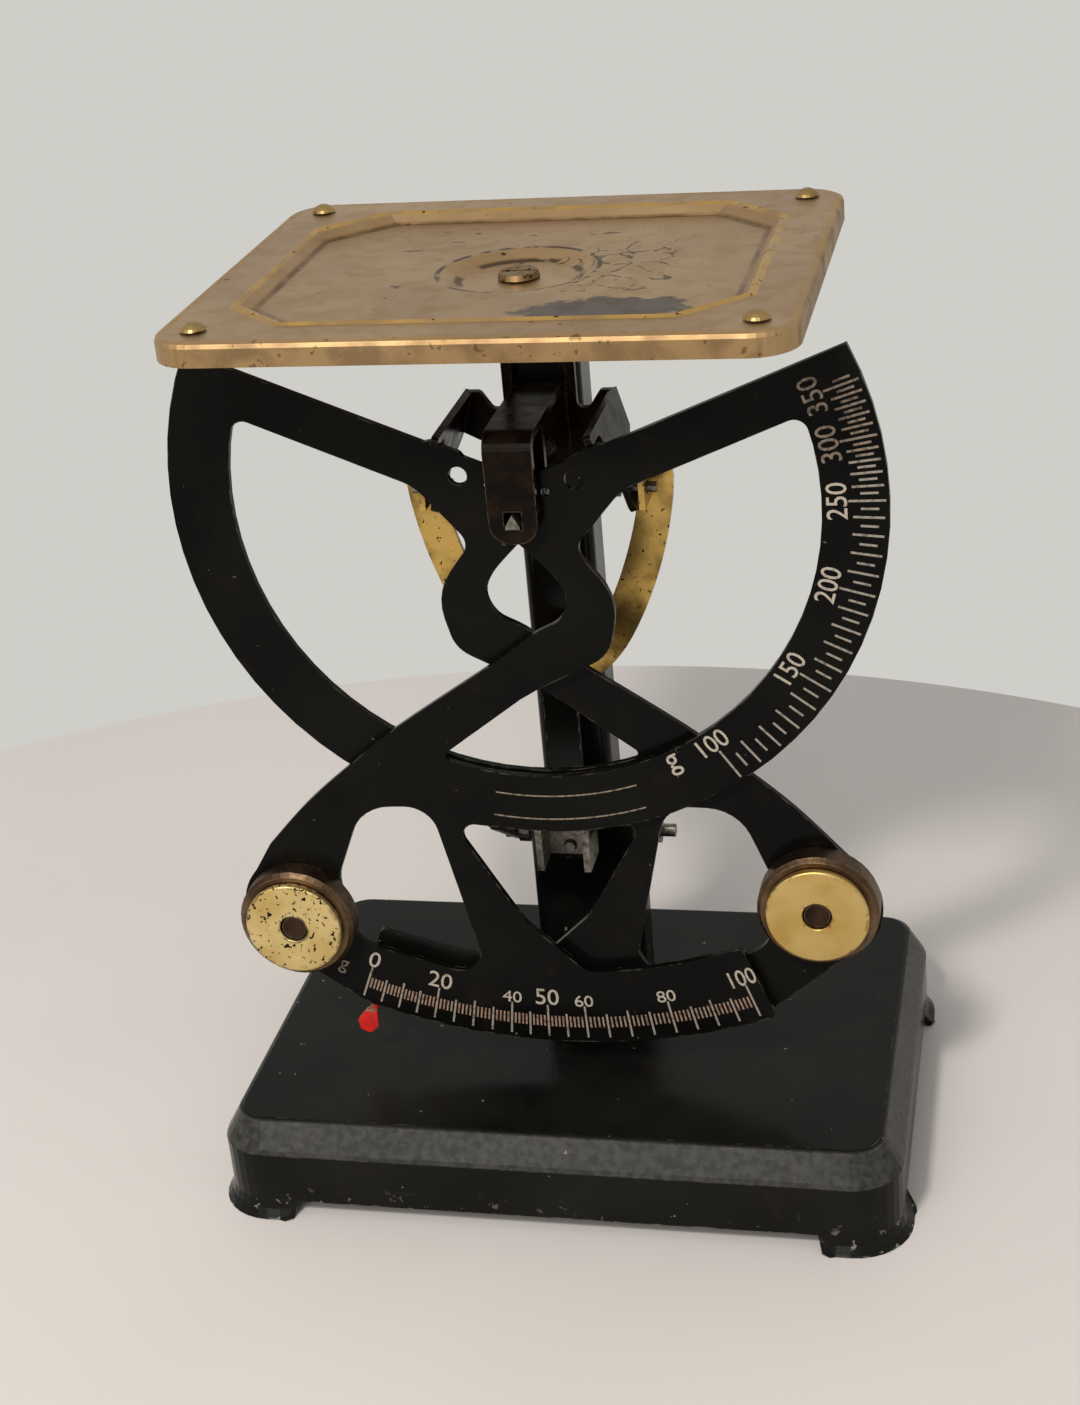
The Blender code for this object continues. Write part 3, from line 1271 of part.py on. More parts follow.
def make_bow(group):
    """Brass bow with a folded ear at each end for its hanging pin."""
    holes = [circle(place, GUIDE_RIVET_RADIUS + FIT, RIVET_SIDES) for place in guide_rivet_places()]
    strip = moved(flat_outline([bow_outline(), *holes], BOW_SHEET), (0.0, BOW_Y, 0.0))
    pin_z = EAR_TOP - EAR_PIN_DROP
    back = BOW_Y + BOW_SHEET / 2
    low = pin_z - BOW_EAR_HEIGHT / 2
    high = pin_z + BOW_EAR_HEIGHT / 2
    ears = []
    for side in (-1, 1):
        edges = sorted((side * BOW_EAR_X, side * (BOW_EAR_X + BOW_SHEET)))
        ears.append(box((edges[0], back - BOW_EAR_REACH, low), (edges[1], back, high)))
    reach = BOW_PIN_END + OVERRUN
    hole = rod(BOW_PIN_RADIUS + FIT, (-reach, EAR_PIN_Y, pin_z), (reach, EAR_PIN_Y, pin_z), RIVET_SIDES)
    form = cut(join(strip, *ears), hole)
    moved(form, (0.0, -PAN_CENTRE_Y, -PAN_TOP))
    add_piece("guide_bow", form, BRASS, group)


def make_bow_pins(group):
    """A headed pin on each side, through the yoke's ear and the bow's ear."""
    pin_z = EAR_TOP - EAR_PIN_DROP
    lug_inner = EAR_HALF_WIDTH + EAR_PIN_DROP * math.tan(EAR_TILT)
    pins = []
    for side in (-1, 1):
        head_face = lug_inner - BOW_PIN_RADIUS * math.tan(EAR_TILT) * 2 - FIT
        start = (side * head_face, EAR_PIN_Y, pin_z)
        under = (side * (head_face - BOW_PIN_HEAD_HEIGHT), EAR_PIN_Y, pin_z)
        shank = rod(BOW_PIN_RADIUS, (side * (head_face - BOW_PIN_HEAD_HEIGHT / 2), EAR_PIN_Y, pin_z),
                    (side * BOW_PIN_END, EAR_PIN_Y, pin_z), RIVET_SIDES)
        pins.append(join(shank, rod(BOW_PIN_HEAD, start, under, RIVET_SIDES)))
    add_pieces(("bow_pin_left", "bow_pin_right"), pins, STEEL, group, (0.0, -PAN_CENTRE_Y, -PAN_TOP))


def foot_rivet_heights():
    """Heights of the two rivets that hold the slotted foot on the guide strip."""
    return (FOOT_BRACKET_BOTTOM + FOOT_RIVET_INSET, FOOT_BRACKET_TOP - FOOT_RIVET_INSET)


def make_guide(group):
    """Guide strip below the bow, its slotted foot, and the rivets of both."""
    half = GUIDE_WIDTH / 2
    corner = GUIDE_WIDTH / 5
    loop = rounded_loop([
        (-half, GUIDE_BOTTOM, corner),
        (half, GUIDE_BOTTOM, corner),
        (half, GUIDE_TOP, corner),
        (-half, GUIDE_TOP, corner),
    ])
    places = guide_rivet_places() + [(0.0, height) for height in foot_rivet_heights()]
    holes = [circle(place, GUIDE_RIVET_RADIUS + FIT, RIVET_SIDES) for place in places]
    strip = moved(flat_outline([loop, *holes], GUIDE_SHEET), (0.0, GUIDE_FRONT + GUIDE_SHEET / 2, 0.0))
    shift = (0.0, -PAN_CENTRE_Y, -PAN_TOP)
    add_piece("guide_strip", moved(strip, shift), BLACK, group)
    bracket_front = BRACKET_BACK - FOOT_BRACKET_SHEET
    width = FOOT_BRACKET_WIDTH / 2
    back_plate = box((-width, bracket_front, FOOT_BRACKET_BOTTOM), (width, BRACKET_BACK, FOOT_BRACKET_TOP))
    swing = LEVER_LENGTH * (1 - math.cos(LEVER_REST_ANGLE))
    slot_half = LEVER_PIN_RADIUS + FOOT_SLOT_FIT
    slot_back = LEVER_PIN_Y + slot_half
    slot_front = LEVER_PIN_Y - swing - slot_half
    lug_front = slot_front - FOOT_BRACKET_SHEET
    lug_low = FOOT_BRACKET_BOTTOM
    lug_high = LEVER_PIN_Z + FOOT_LUG_RISE
    lugs = []
    for side in (-1, 1):
        edges = sorted((side * width, side * (width - FOOT_BRACKET_SHEET)))
        lugs.append(box((edges[0], lug_front, lug_low), (edges[1], BRACKET_BACK, lug_high)))
    reach = width + OVERRUN
    slot = box((-reach, slot_front, LEVER_PIN_Z - slot_half), (reach, slot_back, LEVER_PIN_Z + slot_half))
    tools = [slot]
    length = GUIDE_SHEET + FIT * 3
    rivets = []
    for height in foot_rivet_heights():
        start = (0.0, bracket_front - OVERRUN, height)
        tools.append(rod(GUIDE_RIVET_RADIUS + FIT, start, (0.0, BRACKET_BACK + OVERRUN, height), RIVET_SIDES))
        rivets.append(rivet(
            (0.0, bracket_front - FIT, height), (0.0, 1.0, 0.0), GUIDE_RIVET_RADIUS,
            FOOT_BRACKET_SHEET + length, GUIDE_RIVET_HEAD, GUIDE_RIVET_HEAD_HEIGHT,
        ))
    for x, z in guide_rivet_places():
        start = (x, BOW_Y - BOW_SHEET / 2 - FIT, z)
        rivets.append(rivet(
            start, (0.0, 1.0, 0.0), GUIDE_RIVET_RADIUS, BOW_SHEET + length,
            GUIDE_RIVET_HEAD, GUIDE_RIVET_HEAD_HEIGHT,
        ))
    foot = cut(join(back_plate, *lugs), *tools)
    add_piece("guide_foot", moved(foot, shift), STEEL, group)
    names = ("foot_rivet_lower", "foot_rivet_upper", "guide_rivet_lower", "guide_rivet_upper")
    add_pieces(names, rivets, STEEL, group, shift)


def make_lever(group):
    """Two lever cheeks and their front pin, about the lever's pivot, turned to the rest angle."""
    lift = Matrix.Rotation(-LEVER_REST_ANGLE, 4, "X")
    half = LEVER_WIDTH / 2
    front = -LEVER_LENGTH
    loop = arc((0.0, 0.0), LEVER_EYE_RADIUS, -math.acos(half / LEVER_EYE_RADIUS) - math.pi / 2 + math.pi,
               math.acos(half / LEVER_EYE_RADIUS) - math.pi / 2, FINE_STEP)
    loop += arc((front, 0.0), half, -math.pi / 2, -math.pi * 3 / 2, FINE_STEP)
    holes = [
        circle((0.0, 0.0), PIVOT_PIN_RADIUS + FIT, PIN_SIDES),
        circle((front, 0.0), LEVER_PIN_RADIUS + FIT, PIN_SIDES),
    ]
    for side, name in ((-1, "lever_cheek_left"), (1, "lever_cheek_right")):
        cheek = flat_outline([loop, *holes], LEVER_SHEET)
        upright = Matrix.Rotation(math.pi / 2, 4, "Z")
        moved(cheek, (0.0, 0.0, 0.0), lift @ upright)
        middle = side * (LEVER_X + LEVER_SHEET / 2)
        add_piece(name, moved(cheek, (middle, 0.0, 0.0)), STEEL, group)
    outer = LEVER_X + LEVER_SHEET + FIT
    pin = rivet(
        (-outer, front, 0.0), (1.0, 0.0, 0.0), LEVER_PIN_RADIUS, outer * 2,
        LEVER_PIN_HEAD, LEVER_PIN_HEAD_HEIGHT, PIN_SIDES,
    )
    add_piece("lever_front_pin", moved(pin, (0.0, 0.0, 0.0), lift), STEEL, group)


def make_lever_pivot():
    """Fixed pin through the pillar that carries the lever, with a washer on each side."""
    outer = LEVER_X + LEVER_SHEET + FIT
    place_y = LEVER_PIVOT_Y
    place_z = LEVER_PIVOT_Z
    left = (-outer - LEVER_PIN_HEAD_HEIGHT, place_y, place_z)
    shank = rod(PIVOT_PIN_RADIUS, (-outer - LEVER_PIN_HEAD_HEIGHT / 2, place_y, place_z),
                (outer + PIVOT_PIN_TAIL, place_y, place_z))
    head = rod(PIVOT_PIN_HEAD, left, (-outer, place_y, place_z))
    add_piece("lever_pivot_pin", join(shank, head), STEEL)
    washers = []
    for side in (-1, 1):
        start = (side * (PILLAR_LOWER_WIDTH / 2 + FIT), place_y, place_z)
        end = (side * (LEVER_X - FIT), place_y, place_z)
        washers.append(ring_form(LEVER_WASHER_RADIUS, PIVOT_PIN_RADIUS + FIT, start, end))
    add_pieces(("lever_washer_left", "lever_washer_right"), washers, STEEL)


clear_scene()
PARTS = new_collection("letter_balance")
CUTTERS = new_collection("cutters")
BLACK = finish("black japanned enamel", (0.012, 0.012, 0.011), 0.28, 0.0)
DARK_STEEL = finish("browned steel", (0.050, 0.036, 0.028), 0.42, 0.7)
STEEL = finish("plain steel", (0.330, 0.320, 0.300), 0.38, 1.0)
BRASS = finish("aged brass", (0.500, 0.360, 0.150), 0.34, 1.0)
RED = finish("red lacquer", (0.450, 0.020, 0.012), 0.35, 0.0)

make_base()
make_pillar()
make_pillar_fasteners()
make_bearing_strap()
make_strap_rivets()
make_knife_edge()
make_spacer_washers()
make_lever_pivot()

front_axis = add_empty("front_pendulum_axis", (0.0, FRONT_PLATE_Y, PIVOT_HEIGHT))
rear_axis = add_empty("rear_pendulum_axis", (0.0, REAR_PLATE_Y, PIVOT_HEIGHT))
pan_place = add_empty("pan_carrier_place", (0.0, PAN_CENTRE_Y, PAN_TOP))
lever_axis = add_empty("guide_lever_axis", (0.0, LEVER_PIVOT_Y, LEVER_PIVOT_Z))

make_pendulum("front", FRONT_WEIGHT_Z, FRONT_LOBE_Z, front_axis)
make_pendulum("rear", REAR_WEIGHT_Z, REAR_LOBE_Z, rear_axis)
make_pointer(rear_axis)
cut_pointer_holes()
make_pan(pan_place)
make_pan_fasteners(pan_place)
make_yoke(pan_place)
make_bow(pan_place)
make_bow_pins(pan_place)
make_guide(pan_place)
make_lever(lever_axis)
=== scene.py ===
"""Looks of the two-pendulum letter balance: finishes, printed scales, light and camera.

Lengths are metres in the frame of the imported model. Sizes of patterns, of worn edges and of rounded edges
are millimetres.
"""

import json
import math

import bmesh
import bpy
from mathutils import Matrix, Vector


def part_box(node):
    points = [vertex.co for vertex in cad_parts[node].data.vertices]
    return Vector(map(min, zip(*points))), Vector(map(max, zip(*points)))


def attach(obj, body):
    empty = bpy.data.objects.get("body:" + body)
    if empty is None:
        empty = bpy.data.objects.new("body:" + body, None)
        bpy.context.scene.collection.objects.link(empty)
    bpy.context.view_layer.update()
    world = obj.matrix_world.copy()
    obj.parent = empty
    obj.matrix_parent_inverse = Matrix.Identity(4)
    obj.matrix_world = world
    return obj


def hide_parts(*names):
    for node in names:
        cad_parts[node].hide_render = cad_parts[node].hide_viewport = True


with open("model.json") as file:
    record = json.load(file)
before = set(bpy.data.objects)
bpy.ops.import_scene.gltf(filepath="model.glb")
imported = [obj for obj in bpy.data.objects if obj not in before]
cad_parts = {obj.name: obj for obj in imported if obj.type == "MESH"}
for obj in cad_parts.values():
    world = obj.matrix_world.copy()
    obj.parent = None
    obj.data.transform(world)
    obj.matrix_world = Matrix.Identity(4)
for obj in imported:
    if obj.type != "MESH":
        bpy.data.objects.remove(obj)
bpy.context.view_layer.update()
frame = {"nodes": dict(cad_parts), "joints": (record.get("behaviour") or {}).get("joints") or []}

MM = 0.001

# Pivot of the front pendulum, and the face of its plate, which carries both scales
PIVOT = next(Vector(joint["pos_m"]) for joint in frame["joints"] if joint["name"] == "front_swing")
PLATE_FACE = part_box("front_plate")[0][1]

# How deep the printed paint reaches into the plate's face, and how far it stands proud of it
PAINT_SUNK = 0.00003
PAINT_PROUD = 0.00003

# Setting of a range node that eases in and out
SMOOTH = {"interpolation_type": "SMOOTHSTEP"}


def linear(code):
    """An sRGB hex colour as linear red, green, blue and a full alpha."""
    parts = []
    for start in (1, 3, 5):
        value = int(code[start:start + 2], 16) / 255
        parts.append(value / 12.92 if value <= 0.04045 else ((value + 0.055) / 1.055) ** 2.4)
    return (*parts, 1.0)


def add_node(tree, kind, inputs, output=0, **settings):
    """Add one node with its settings, values and links, and return one of its outputs."""
    node = tree.nodes.new(kind)
    for name, value in settings.items():
        setattr(node, name, value)
    for socket, value in inputs.items():
        if isinstance(value, bpy.types.NodeSocket):
            tree.links.new(value, node.inputs[socket])
        else:
            node.inputs[socket].default_value = value
    return node.outputs[output] if node.outputs else node


def new_finish(name):
    """An empty node material, and the place on the surface that its patterns use."""
    material = bpy.data.materials.new(name)
    material.use_nodes = True
    tree = material.node_tree
    tree.nodes.clear()
    place = add_node(tree, "ShaderNodeTexCoord", {}, output="Object")
    return material, tree, place


def close_finish(tree, colour, roughness, relief, relief_depth, relief_strength, surface):
    """Finish a material from its colour, roughness and relief, and from values that are the same all over."""
    bump = add_node(tree, "ShaderNodeBump", {
        "Strength": relief_strength, "Distance": relief_depth, "Height": relief,
    })
    shader = add_node(tree, "ShaderNodeBsdfPrincipled", {
        "Base Color": colour, "Roughness": roughness, "Normal": bump, **surface,
    })
    add_node(tree, "ShaderNodeOutputMaterial", {"Surface": shader})


def patches(tree, place, size, low, high, detail=4.0, distortion=0.0, within=None):
    """A mask that rises from 0 to 1 between two levels of a noise with features of that size in mm.

    Where another mask is given, the patches lie only within it.
    """
    noise = add_node(
        tree, "ShaderNodeTexNoise",
        {"Vector": place, "Scale": 1 / (size * MM), "Detail": detail, "Distortion": distortion},
    )
    mask = add_node(tree, "ShaderNodeMapRange", {0: noise, 1: low, 2: high}, **SMOOTH)
    if within is None:
        return mask
    return add_node(tree, "ShaderNodeMath", {0: mask, 1: within}, operation="MULTIPLY")


def edges(tree, reach, flat=0.995, sharp=0.9):
    """A mask of the edges, within that reach in mm.

    It starts where a rounded surface would agree with the real one as much as flat says, and is full where
    it would agree as little as sharp says.
    """
    soft = add_node(tree, "ShaderNodeBevel", {"Radius": reach * MM}, samples=6)
    true = add_node(tree, "ShaderNodeNewGeometry", {}, output="Normal")
    agree = add_node(
        tree, "ShaderNodeVectorMath", {0: soft, 1: true}, output="Value", operation="DOT_PRODUCT",
    )
    return add_node(tree, "ShaderNodeMapRange", {0: agree, 1: flat, 2: sharp})


def band(tree, value, low, high, soft):
    """A mask of the places where a number lies between low and high, with soft borders outside them."""
    above = add_node(tree, "ShaderNodeMapRange", {0: value, 1: low - soft, 2: low}, **SMOOTH)
    below = add_node(tree, "ShaderNodeMapRange", {0: value, 1: high + soft, 2: high}, **SMOOTH)
    return add_node(tree, "ShaderNodeMath", {0: above, 1: below}, operation="MULTIPLY")


def blot(tree, place, centre, reach, ragged, fray):
    """A mask of one oval patch. Its edge is ragged by that share of its reach, at that size in mm."""
    shifted = add_node(tree, "ShaderNodeVectorMath", {0: place, 1: centre}, operation="SUBTRACT")
    shares = add_node(tree, "ShaderNodeVectorMath", {0: shifted, 1: reach}, operation="DIVIDE")
    away = add_node(tree, "ShaderNodeVectorMath", {0: shares}, output="Value", operation="LENGTH")
    raggedness = patches(tree, place, ragged, 0.3, 0.7, detail=8.0)
    raggedness = add_node(tree, "ShaderNodeMapRange", {0: raggedness, 3: -fray, 4: fray})
    frayed = add_node(tree, "ShaderNodeMath", {0: away, 1: raggedness}, operation="ADD")
    return add_node(tree, "ShaderNodeMapRange", {0: frayed, 1: 1.0, 2: 0.8}, **SMOOTH)


def layered(tree, colour, *layers):
    """A colour with further ones laid over it in turn, each as a mask and an sRGB hex colour."""
    for mask, code in layers:
        colour = add_node(
            tree, "ShaderNodeMix", {0: mask, 6: colour, 7: linear(code)}, output=2, data_type="RGBA",
        )
    return colour


# The base: below this height its skirt is chipped, and from this far below its top its bevel has scuffs and a
# painted reflection
SKIRT_CHIPS_TOP = 0.0080
BASE_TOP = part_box("base_shell")[1].z
BEVEL_DROP = 0.0054
BEVEL_EDGE = 0.0004
BEVEL_FADE = 0.0003


def japanned_enamel(name, deep, lit, brown, worn, gloss):
    """Black japanned enamel on steel sheet, brushed and stoved: deep gloss, faint ripple, rubbed edges, and a
    grey bevel that is partly scuffs and partly a painted reflection.
    """
    material, tree, place = new_finish(name)
    cloud = patches(tree, place, 22.0, 0.35, 0.70)
    stain = patches(tree, place, 9.0, 0.55, 0.78, detail=5.0)
    height = add_node(tree, "ShaderNodeSeparateXYZ", {0: place}, output="Z")
    # A mottled lighter grey on the base's bevel: partly scuffed enamel, partly a painted reflection of the
    # light
    bevel = band(tree, height, BASE_TOP - BEVEL_DROP, BASE_TOP - BEVEL_EDGE, BEVEL_FADE)
    scuff_and_sheen_mottle = patches(tree, place, 1.3, 0.30, 0.70, detail=6.0)
    scuff_and_sheen_mottle = add_node(tree, "ShaderNodeMapRange", {0: scuff_and_sheen_mottle, 3: 0.30, 4: 0.72})
    scuff_and_sheen = add_node(tree, "ShaderNodeMath", {0: bevel, 1: scuff_and_sheen_mottle}, operation="MULTIPLY")

    # Bare steel on rubbed edges, in a few small chips and in more of them low on the skirt
    rub = patches(tree, place, 2.4, 0.50, 0.64, detail=6.0, within=edges(tree, 0.35))
    chips = patches(tree, place, 1.9, 0.735, 0.76, detail=3.0)
    skirt = add_node(tree, "ShaderNodeMapRange", {0: height, 1: SKIRT_CHIPS_TOP, 2: 0.0}, **SMOOTH)
    low_chips = patches(tree, place, 2.0, 0.645, 0.665, detail=5.0, within=skirt)
    bare = add_node(tree, "ShaderNodeMath", {0: rub, 1: chips}, operation="MAXIMUM")
    bare = add_node(tree, "ShaderNodeMath", {0: bare, 1: low_chips}, operation="MAXIMUM")

    colour = layered(
        tree, linear(deep), (cloud, lit), (stain, brown), (scuff_and_sheen, "#4b4944"), (bare, worn),
    )
    dulled = patches(tree, place, 1.6, 0.40, 0.66, detail=5.0, within=stain)
    dulled = add_node(tree, "ShaderNodeMath", {0: dulled, 1: cloud}, operation="MAXIMUM")
    roughness = add_node(tree, "ShaderNodeMath", {
        0: add_node(tree, "ShaderNodeMapRange", {0: dulled, 3: 0.16, 4: 0.30}),
        1: add_node(tree, "ShaderNodeMapRange", {0: bare, 3: 0.0, 4: 0.25}),
    }, operation="ADD")
    relief = add_node(tree, "ShaderNodeMath", {
        0: patches(tree, place, 1.1, 0.25, 0.75, detail=2.0),
        1: add_node(tree, "ShaderNodeMapRange", {0: bare, 3: 0.0, 4: 3.0}),
    }, operation="SUBTRACT")
    close_finish(tree, colour, roughness, relief, 0.000012, 0.6, {"IOR": 1.52, "Specular IOR Level": gloss})
    return material


def brown_lacquer(name, dark, warm, bare):
    """Asphalt lacquer baked on pressed steel: brown-black, thin and warm on the edges."""
    material, tree, place = new_finish(name)
    cloud = patches(tree, place, 4.0, 0.35, 0.68, detail=5.0)
    rub = patches(tree, place, 1.5, 0.36, 0.52, detail=5.0, within=edges(tree, 0.30))
    colour = layered(tree, linear(dark), (cloud, warm), (rub, bare))
    roughness = add_node(tree, "ShaderNodeMapRange", {0: cloud, 3: 0.20, 4: 0.36})
    ripple = patches(tree, place, 0.9, 0.3, 0.7)
    close_finish(tree, colour, roughness, ripple, 0.000015, 0.5, {"IOR": 1.5, "Specular IOR Level": 0.06})
    return material


def browned_steel(name, dark, light, bright, least_roughness):
    """Steel browned by heat and oil: dull, cloudy, with bare grey edges where it has rubbed."""
    material, tree, place = new_finish(name)
    cloud = patches(tree, place, 6.0, 0.32, 0.68, detail=5.0)
    rub = patches(tree, place, 1.8, 0.40, 0.60, detail=5.0, within=edges(tree, 0.25))
    colour = layered(tree, linear(dark), (cloud, light), (rub, bright))

    # The real grain is about 0.05 mm, and is drawn this coarse so that it shows
    grain = patches(tree, place, 0.7, 0.35, 0.75)
    roughness = add_node(
        tree, "ShaderNodeMapRange", {0: grain, 3: least_roughness, 4: least_roughness + 0.16},
    )
    close_finish(tree, colour, roughness, grain, 0.00002, 0.5, {"Metallic": 1.0})
    return material


# The pan: its middle, its half size, how much its corners are clipped and how far its rim reaches in
PAN_MIDDLE = (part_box("pan_tray")[0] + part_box("pan_tray")[1]) / 2
PAN_HALF = (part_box("pan_tray")[1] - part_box("pan_tray")[0]) / 2
PAN_CLIP = 0.0100
RIM_REACH = 0.0011

# Bands on the pan, each as its start, its end and the width of its soft borders. The gold bead and the edge
# of the floor are measured in from the outline, and the dish's lip and its floor out from the middle.
BEAD = (0.0080, 0.0090, 0.0004)
RECESS = (0.0107, 0.0112, 0.0005)
DISH_LIP = (0.0128, 0.0132, 0.0004)
DISH_FLOOR = (0.0095, 0.0101, 0.0007)

# The pan's worn patch and its cracked patch: place from its middle, and how far each reaches
STAIN_PLACE, STAIN_REACH = (0.0180, -0.0235), (0.0140, 0.0072)
CRACK_PLACE, CRACK_REACH = (0.0165, 0.0015), (0.0095, 0.0155)

# The cracks: their spacing and the size of their bends in mm, and how far in metres they stray. Their
# brown is that of the specks too.
CRACK_SPACING = 5.5
CRACK_BENDS = 3.0
CRACK_STRAY = 0.0024
CRACK_BROWN = "#4d3a26"


def pan_distances(tree, place):
    """How far a place lies inside the pan's sides, inside its clipped outline, and from its middle."""
    shifted = add_node(tree, "ShaderNodeVectorMath", {0: place, 1: tuple(PAN_MIDDLE)}, operation="SUBTRACT")
    size = add_node(tree, "ShaderNodeVectorMath", {0: shifted}, operation="ABSOLUTE")
    from_side = add_node(tree, "ShaderNodeMath", {
        0: PAN_HALF.x, 1: add_node(tree, "ShaderNodeSeparateXYZ", {0: size}, output="X"),
    }, operation="SUBTRACT")
    from_end = add_node(tree, "ShaderNodeMath", {
        0: PAN_HALF.y, 1: add_node(tree, "ShaderNodeSeparateXYZ", {0: size}, output="Y"),
    }, operation="SUBTRACT")
    both_ways = add_node(tree, "ShaderNodeMath", {0: from_side, 1: from_end}, operation="ADD")
    from_corner = add_node(tree, "ShaderNodeMath", {0: both_ways, 1: PAN_CLIP}, operation="SUBTRACT")
    from_corner = add_node(tree, "ShaderNodeMath", {0: from_corner, 1: 0.5}, operation="MULTIPLY")
    straight = add_node(tree, "ShaderNodeMath", {0: from_side, 1: from_end}, operation="MINIMUM")
    inset = add_node(tree, "ShaderNodeMath", {0: straight, 1: from_corner}, operation="MINIMUM")
    flat = add_node(tree, "ShaderNodeVectorMath", {0: shifted, 1: (1.0, 1.0, 0.0)}, operation="MULTIPLY")
    radius = add_node(tree, "ShaderNodeVectorMath", {0: flat}, output="Value", operation="LENGTH")
    return straight, inset, radius


def pan_blot(tree, place, middle, reach, ragged, fray):
    """A mask of one ragged patch on the pan, from its middle."""
    centre = (PAN_MIDDLE.x + middle[0], PAN_MIDDLE.y + middle[1], PAN_MIDDLE.z)
    return blot(tree, place, centre, (*reach, 1.0), ragged, fray)


def pan_cracks(tree, place):
    """A mask of the fine cracks on the right of the dish."""
    stray = add_node(
        tree, "ShaderNodeTexNoise", {"Vector": place, "Scale": 1 / (CRACK_BENDS * MM)}, output="Color",
    )
    stray = add_node(tree, "ShaderNodeVectorMath", {0: stray, 1: (CRACK_STRAY,) * 3}, operation="MULTIPLY")
    bent = add_node(tree, "ShaderNodeVectorMath", {0: place, 1: stray}, operation="ADD")
    cells = add_node(
        tree, "ShaderNodeTexVoronoi", {"Vector": bent, "Scale": 1 / (CRACK_SPACING * MM)},
        feature="DISTANCE_TO_EDGE",
    )
    lines = add_node(tree, "ShaderNodeMapRange", {0: cells, 1: 0.045, 2: 0.015}, **SMOOTH)
    cracked = pan_blot(tree, place, CRACK_PLACE, CRACK_REACH, 4.0, 0.45)
    lines = add_node(tree, "ShaderNodeMath", {0: lines, 1: cracked}, operation="MULTIPLY")
    return patches(tree, place, 2.5, 0.42, 0.50, within=lines)


def patinated_brass():
    """Pressed sheet brass with an old brown patina: gold where hands and letters rub it, which on the rim and
    bead is partly a painted highlight, and painted shade along the floor's edge and in the dish.
    """
    material, tree, place = new_finish("patinated_sheet_brass")
    cloud = patches(tree, place, 24.0, 0.30, 0.70, detail=3.0)
    mottle = patches(tree, place, 4.5, 0.40, 0.72, detail=6.0, distortion=0.4)
    faint_mottle = add_node(tree, "ShaderNodeMapRange", {0: mottle, 3: 0.0, 4: 0.24})
    colour = layered(tree, linear("#ba9b74"), (cloud, "#a98964"), (faint_mottle, "#8c7352"))

    # Rim and bead rubbed to gold that is partly a painted highlight, brown wall, and painted shade with some
    # grime along the edge of the floor, all broken up alike
    straight, inset, radius = pan_distances(tree, place)
    broken = patches(tree, place, 6.0, 0.36, 0.62, detail=5.0)
    rim = add_node(tree, "ShaderNodeMapRange", {0: straight, 1: RIM_REACH * 2, 2: RIM_REACH}, **SMOOTH)
    wall = add_node(tree, "ShaderNodeMapRange", {0: straight, 1: RIM_REACH / 2, 2: RIM_REACH / 8}, **SMOOTH)
    bead = band(tree, inset, *BEAD)
    grime_and_shade = band(tree, inset, *RECESS)
    # The gold of the rim and bead is partly a painted highlight; the brown along the edge of the floor is
    # painted shade in the crease, with some grime
    for region, whole_share, broken_share, code in (
        (rim, 0.0, 0.5, "#b59463"),
        (bead, 0.2, 0.9, "#cfa75e"),
        (wall, 0.75, 0.25, "#7d6344"),
        (grime_and_shade, 0.90, 0.35, "#6f5434"),
    ):
        share = add_node(tree, "ShaderNodeMapRange", {0: broken, 3: whole_share, 4: broken_share})
        mask = add_node(tree, "ShaderNodeMath", {0: region, 1: share}, operation="MULTIPLY")
        colour = layered(tree, colour, (mask, code))

    # Painted shade in broken arcs along the dish's lip and floor, then the worn patch
    lip = band(tree, radius, *DISH_LIP)
    floor = band(tree, radius, *DISH_FLOOR)
    steps = add_node(tree, "ShaderNodeMath", {0: lip, 1: floor}, operation="MAXIMUM")
    dish_shade_arcs = patches(tree, place, 4.0, 0.42, 0.54, detail=5.0, within=steps)
    stain = pan_blot(tree, place, STAIN_PLACE, STAIN_REACH, 5.0, 0.22)
    stain = add_node(tree, "ShaderNodeMapRange", {0: stain, 3: 0.0, 4: 0.92})
    cracks = pan_cracks(tree, place)

    # Short dark dashes in a few places, and flakes on the rim and the bead
    spread = add_node(tree, "ShaderNodeMapping", {"Vector": place, "Scale": (0.5, 1.2, 1.0)})
    sparse = patches(tree, place, 14.0, 0.50, 0.56)
    dashes = patches(tree, spread, 1.9, 0.69, 0.72, detail=2.0, within=sparse)
    thin_rim = add_node(tree, "ShaderNodeMapRange", {0: rim, 3: 0.0, 4: 0.6})
    rubbed = add_node(tree, "ShaderNodeMath", {0: bead, 1: thin_rim}, operation="MAXIMUM")
    flakes = patches(tree, place, 1.5, 0.63, 0.68, within=rubbed)
    specks = add_node(tree, "ShaderNodeMath", {0: dashes, 1: flakes}, operation="MAXIMUM")
    # Painted shade at the dish, then the worn patch, the cracks and the specks
    colour = layered(
        tree, colour, (dish_shade_arcs, "#55402a"), (stain, "#4f453e"), (cracks, CRACK_BROWN), (specks, CRACK_BROWN),
    )

    roughness = add_node(tree, "ShaderNodeMath", {
        0: add_node(tree, "ShaderNodeMapRange", {0: mottle, 3: 0.36, 4: 0.46}),
        1: add_node(tree, "ShaderNodeMapRange", {0: rim, 3: 0.0, 4: 0.12}),
    }, operation="ADD")
    eaten = add_node(tree, "ShaderNodeMath", {0: cracks, 1: specks}, operation="MAXIMUM")

    # The sheet's real grain is about 0.05 mm, and is drawn this coarse so that it shows
    relief = add_node(tree, "ShaderNodeMath", {
        0: patches(tree, place, 0.8, 0.3, 0.7),
        1: add_node(tree, "ShaderNodeMapRange", {0: eaten, 3: 0.0, 4: 4.0}),
    }, operation="SUBTRACT")
    close_finish(tree, colour, roughness, relief, 0.00001, 0.4, {"Metallic": 1.0})
    return material


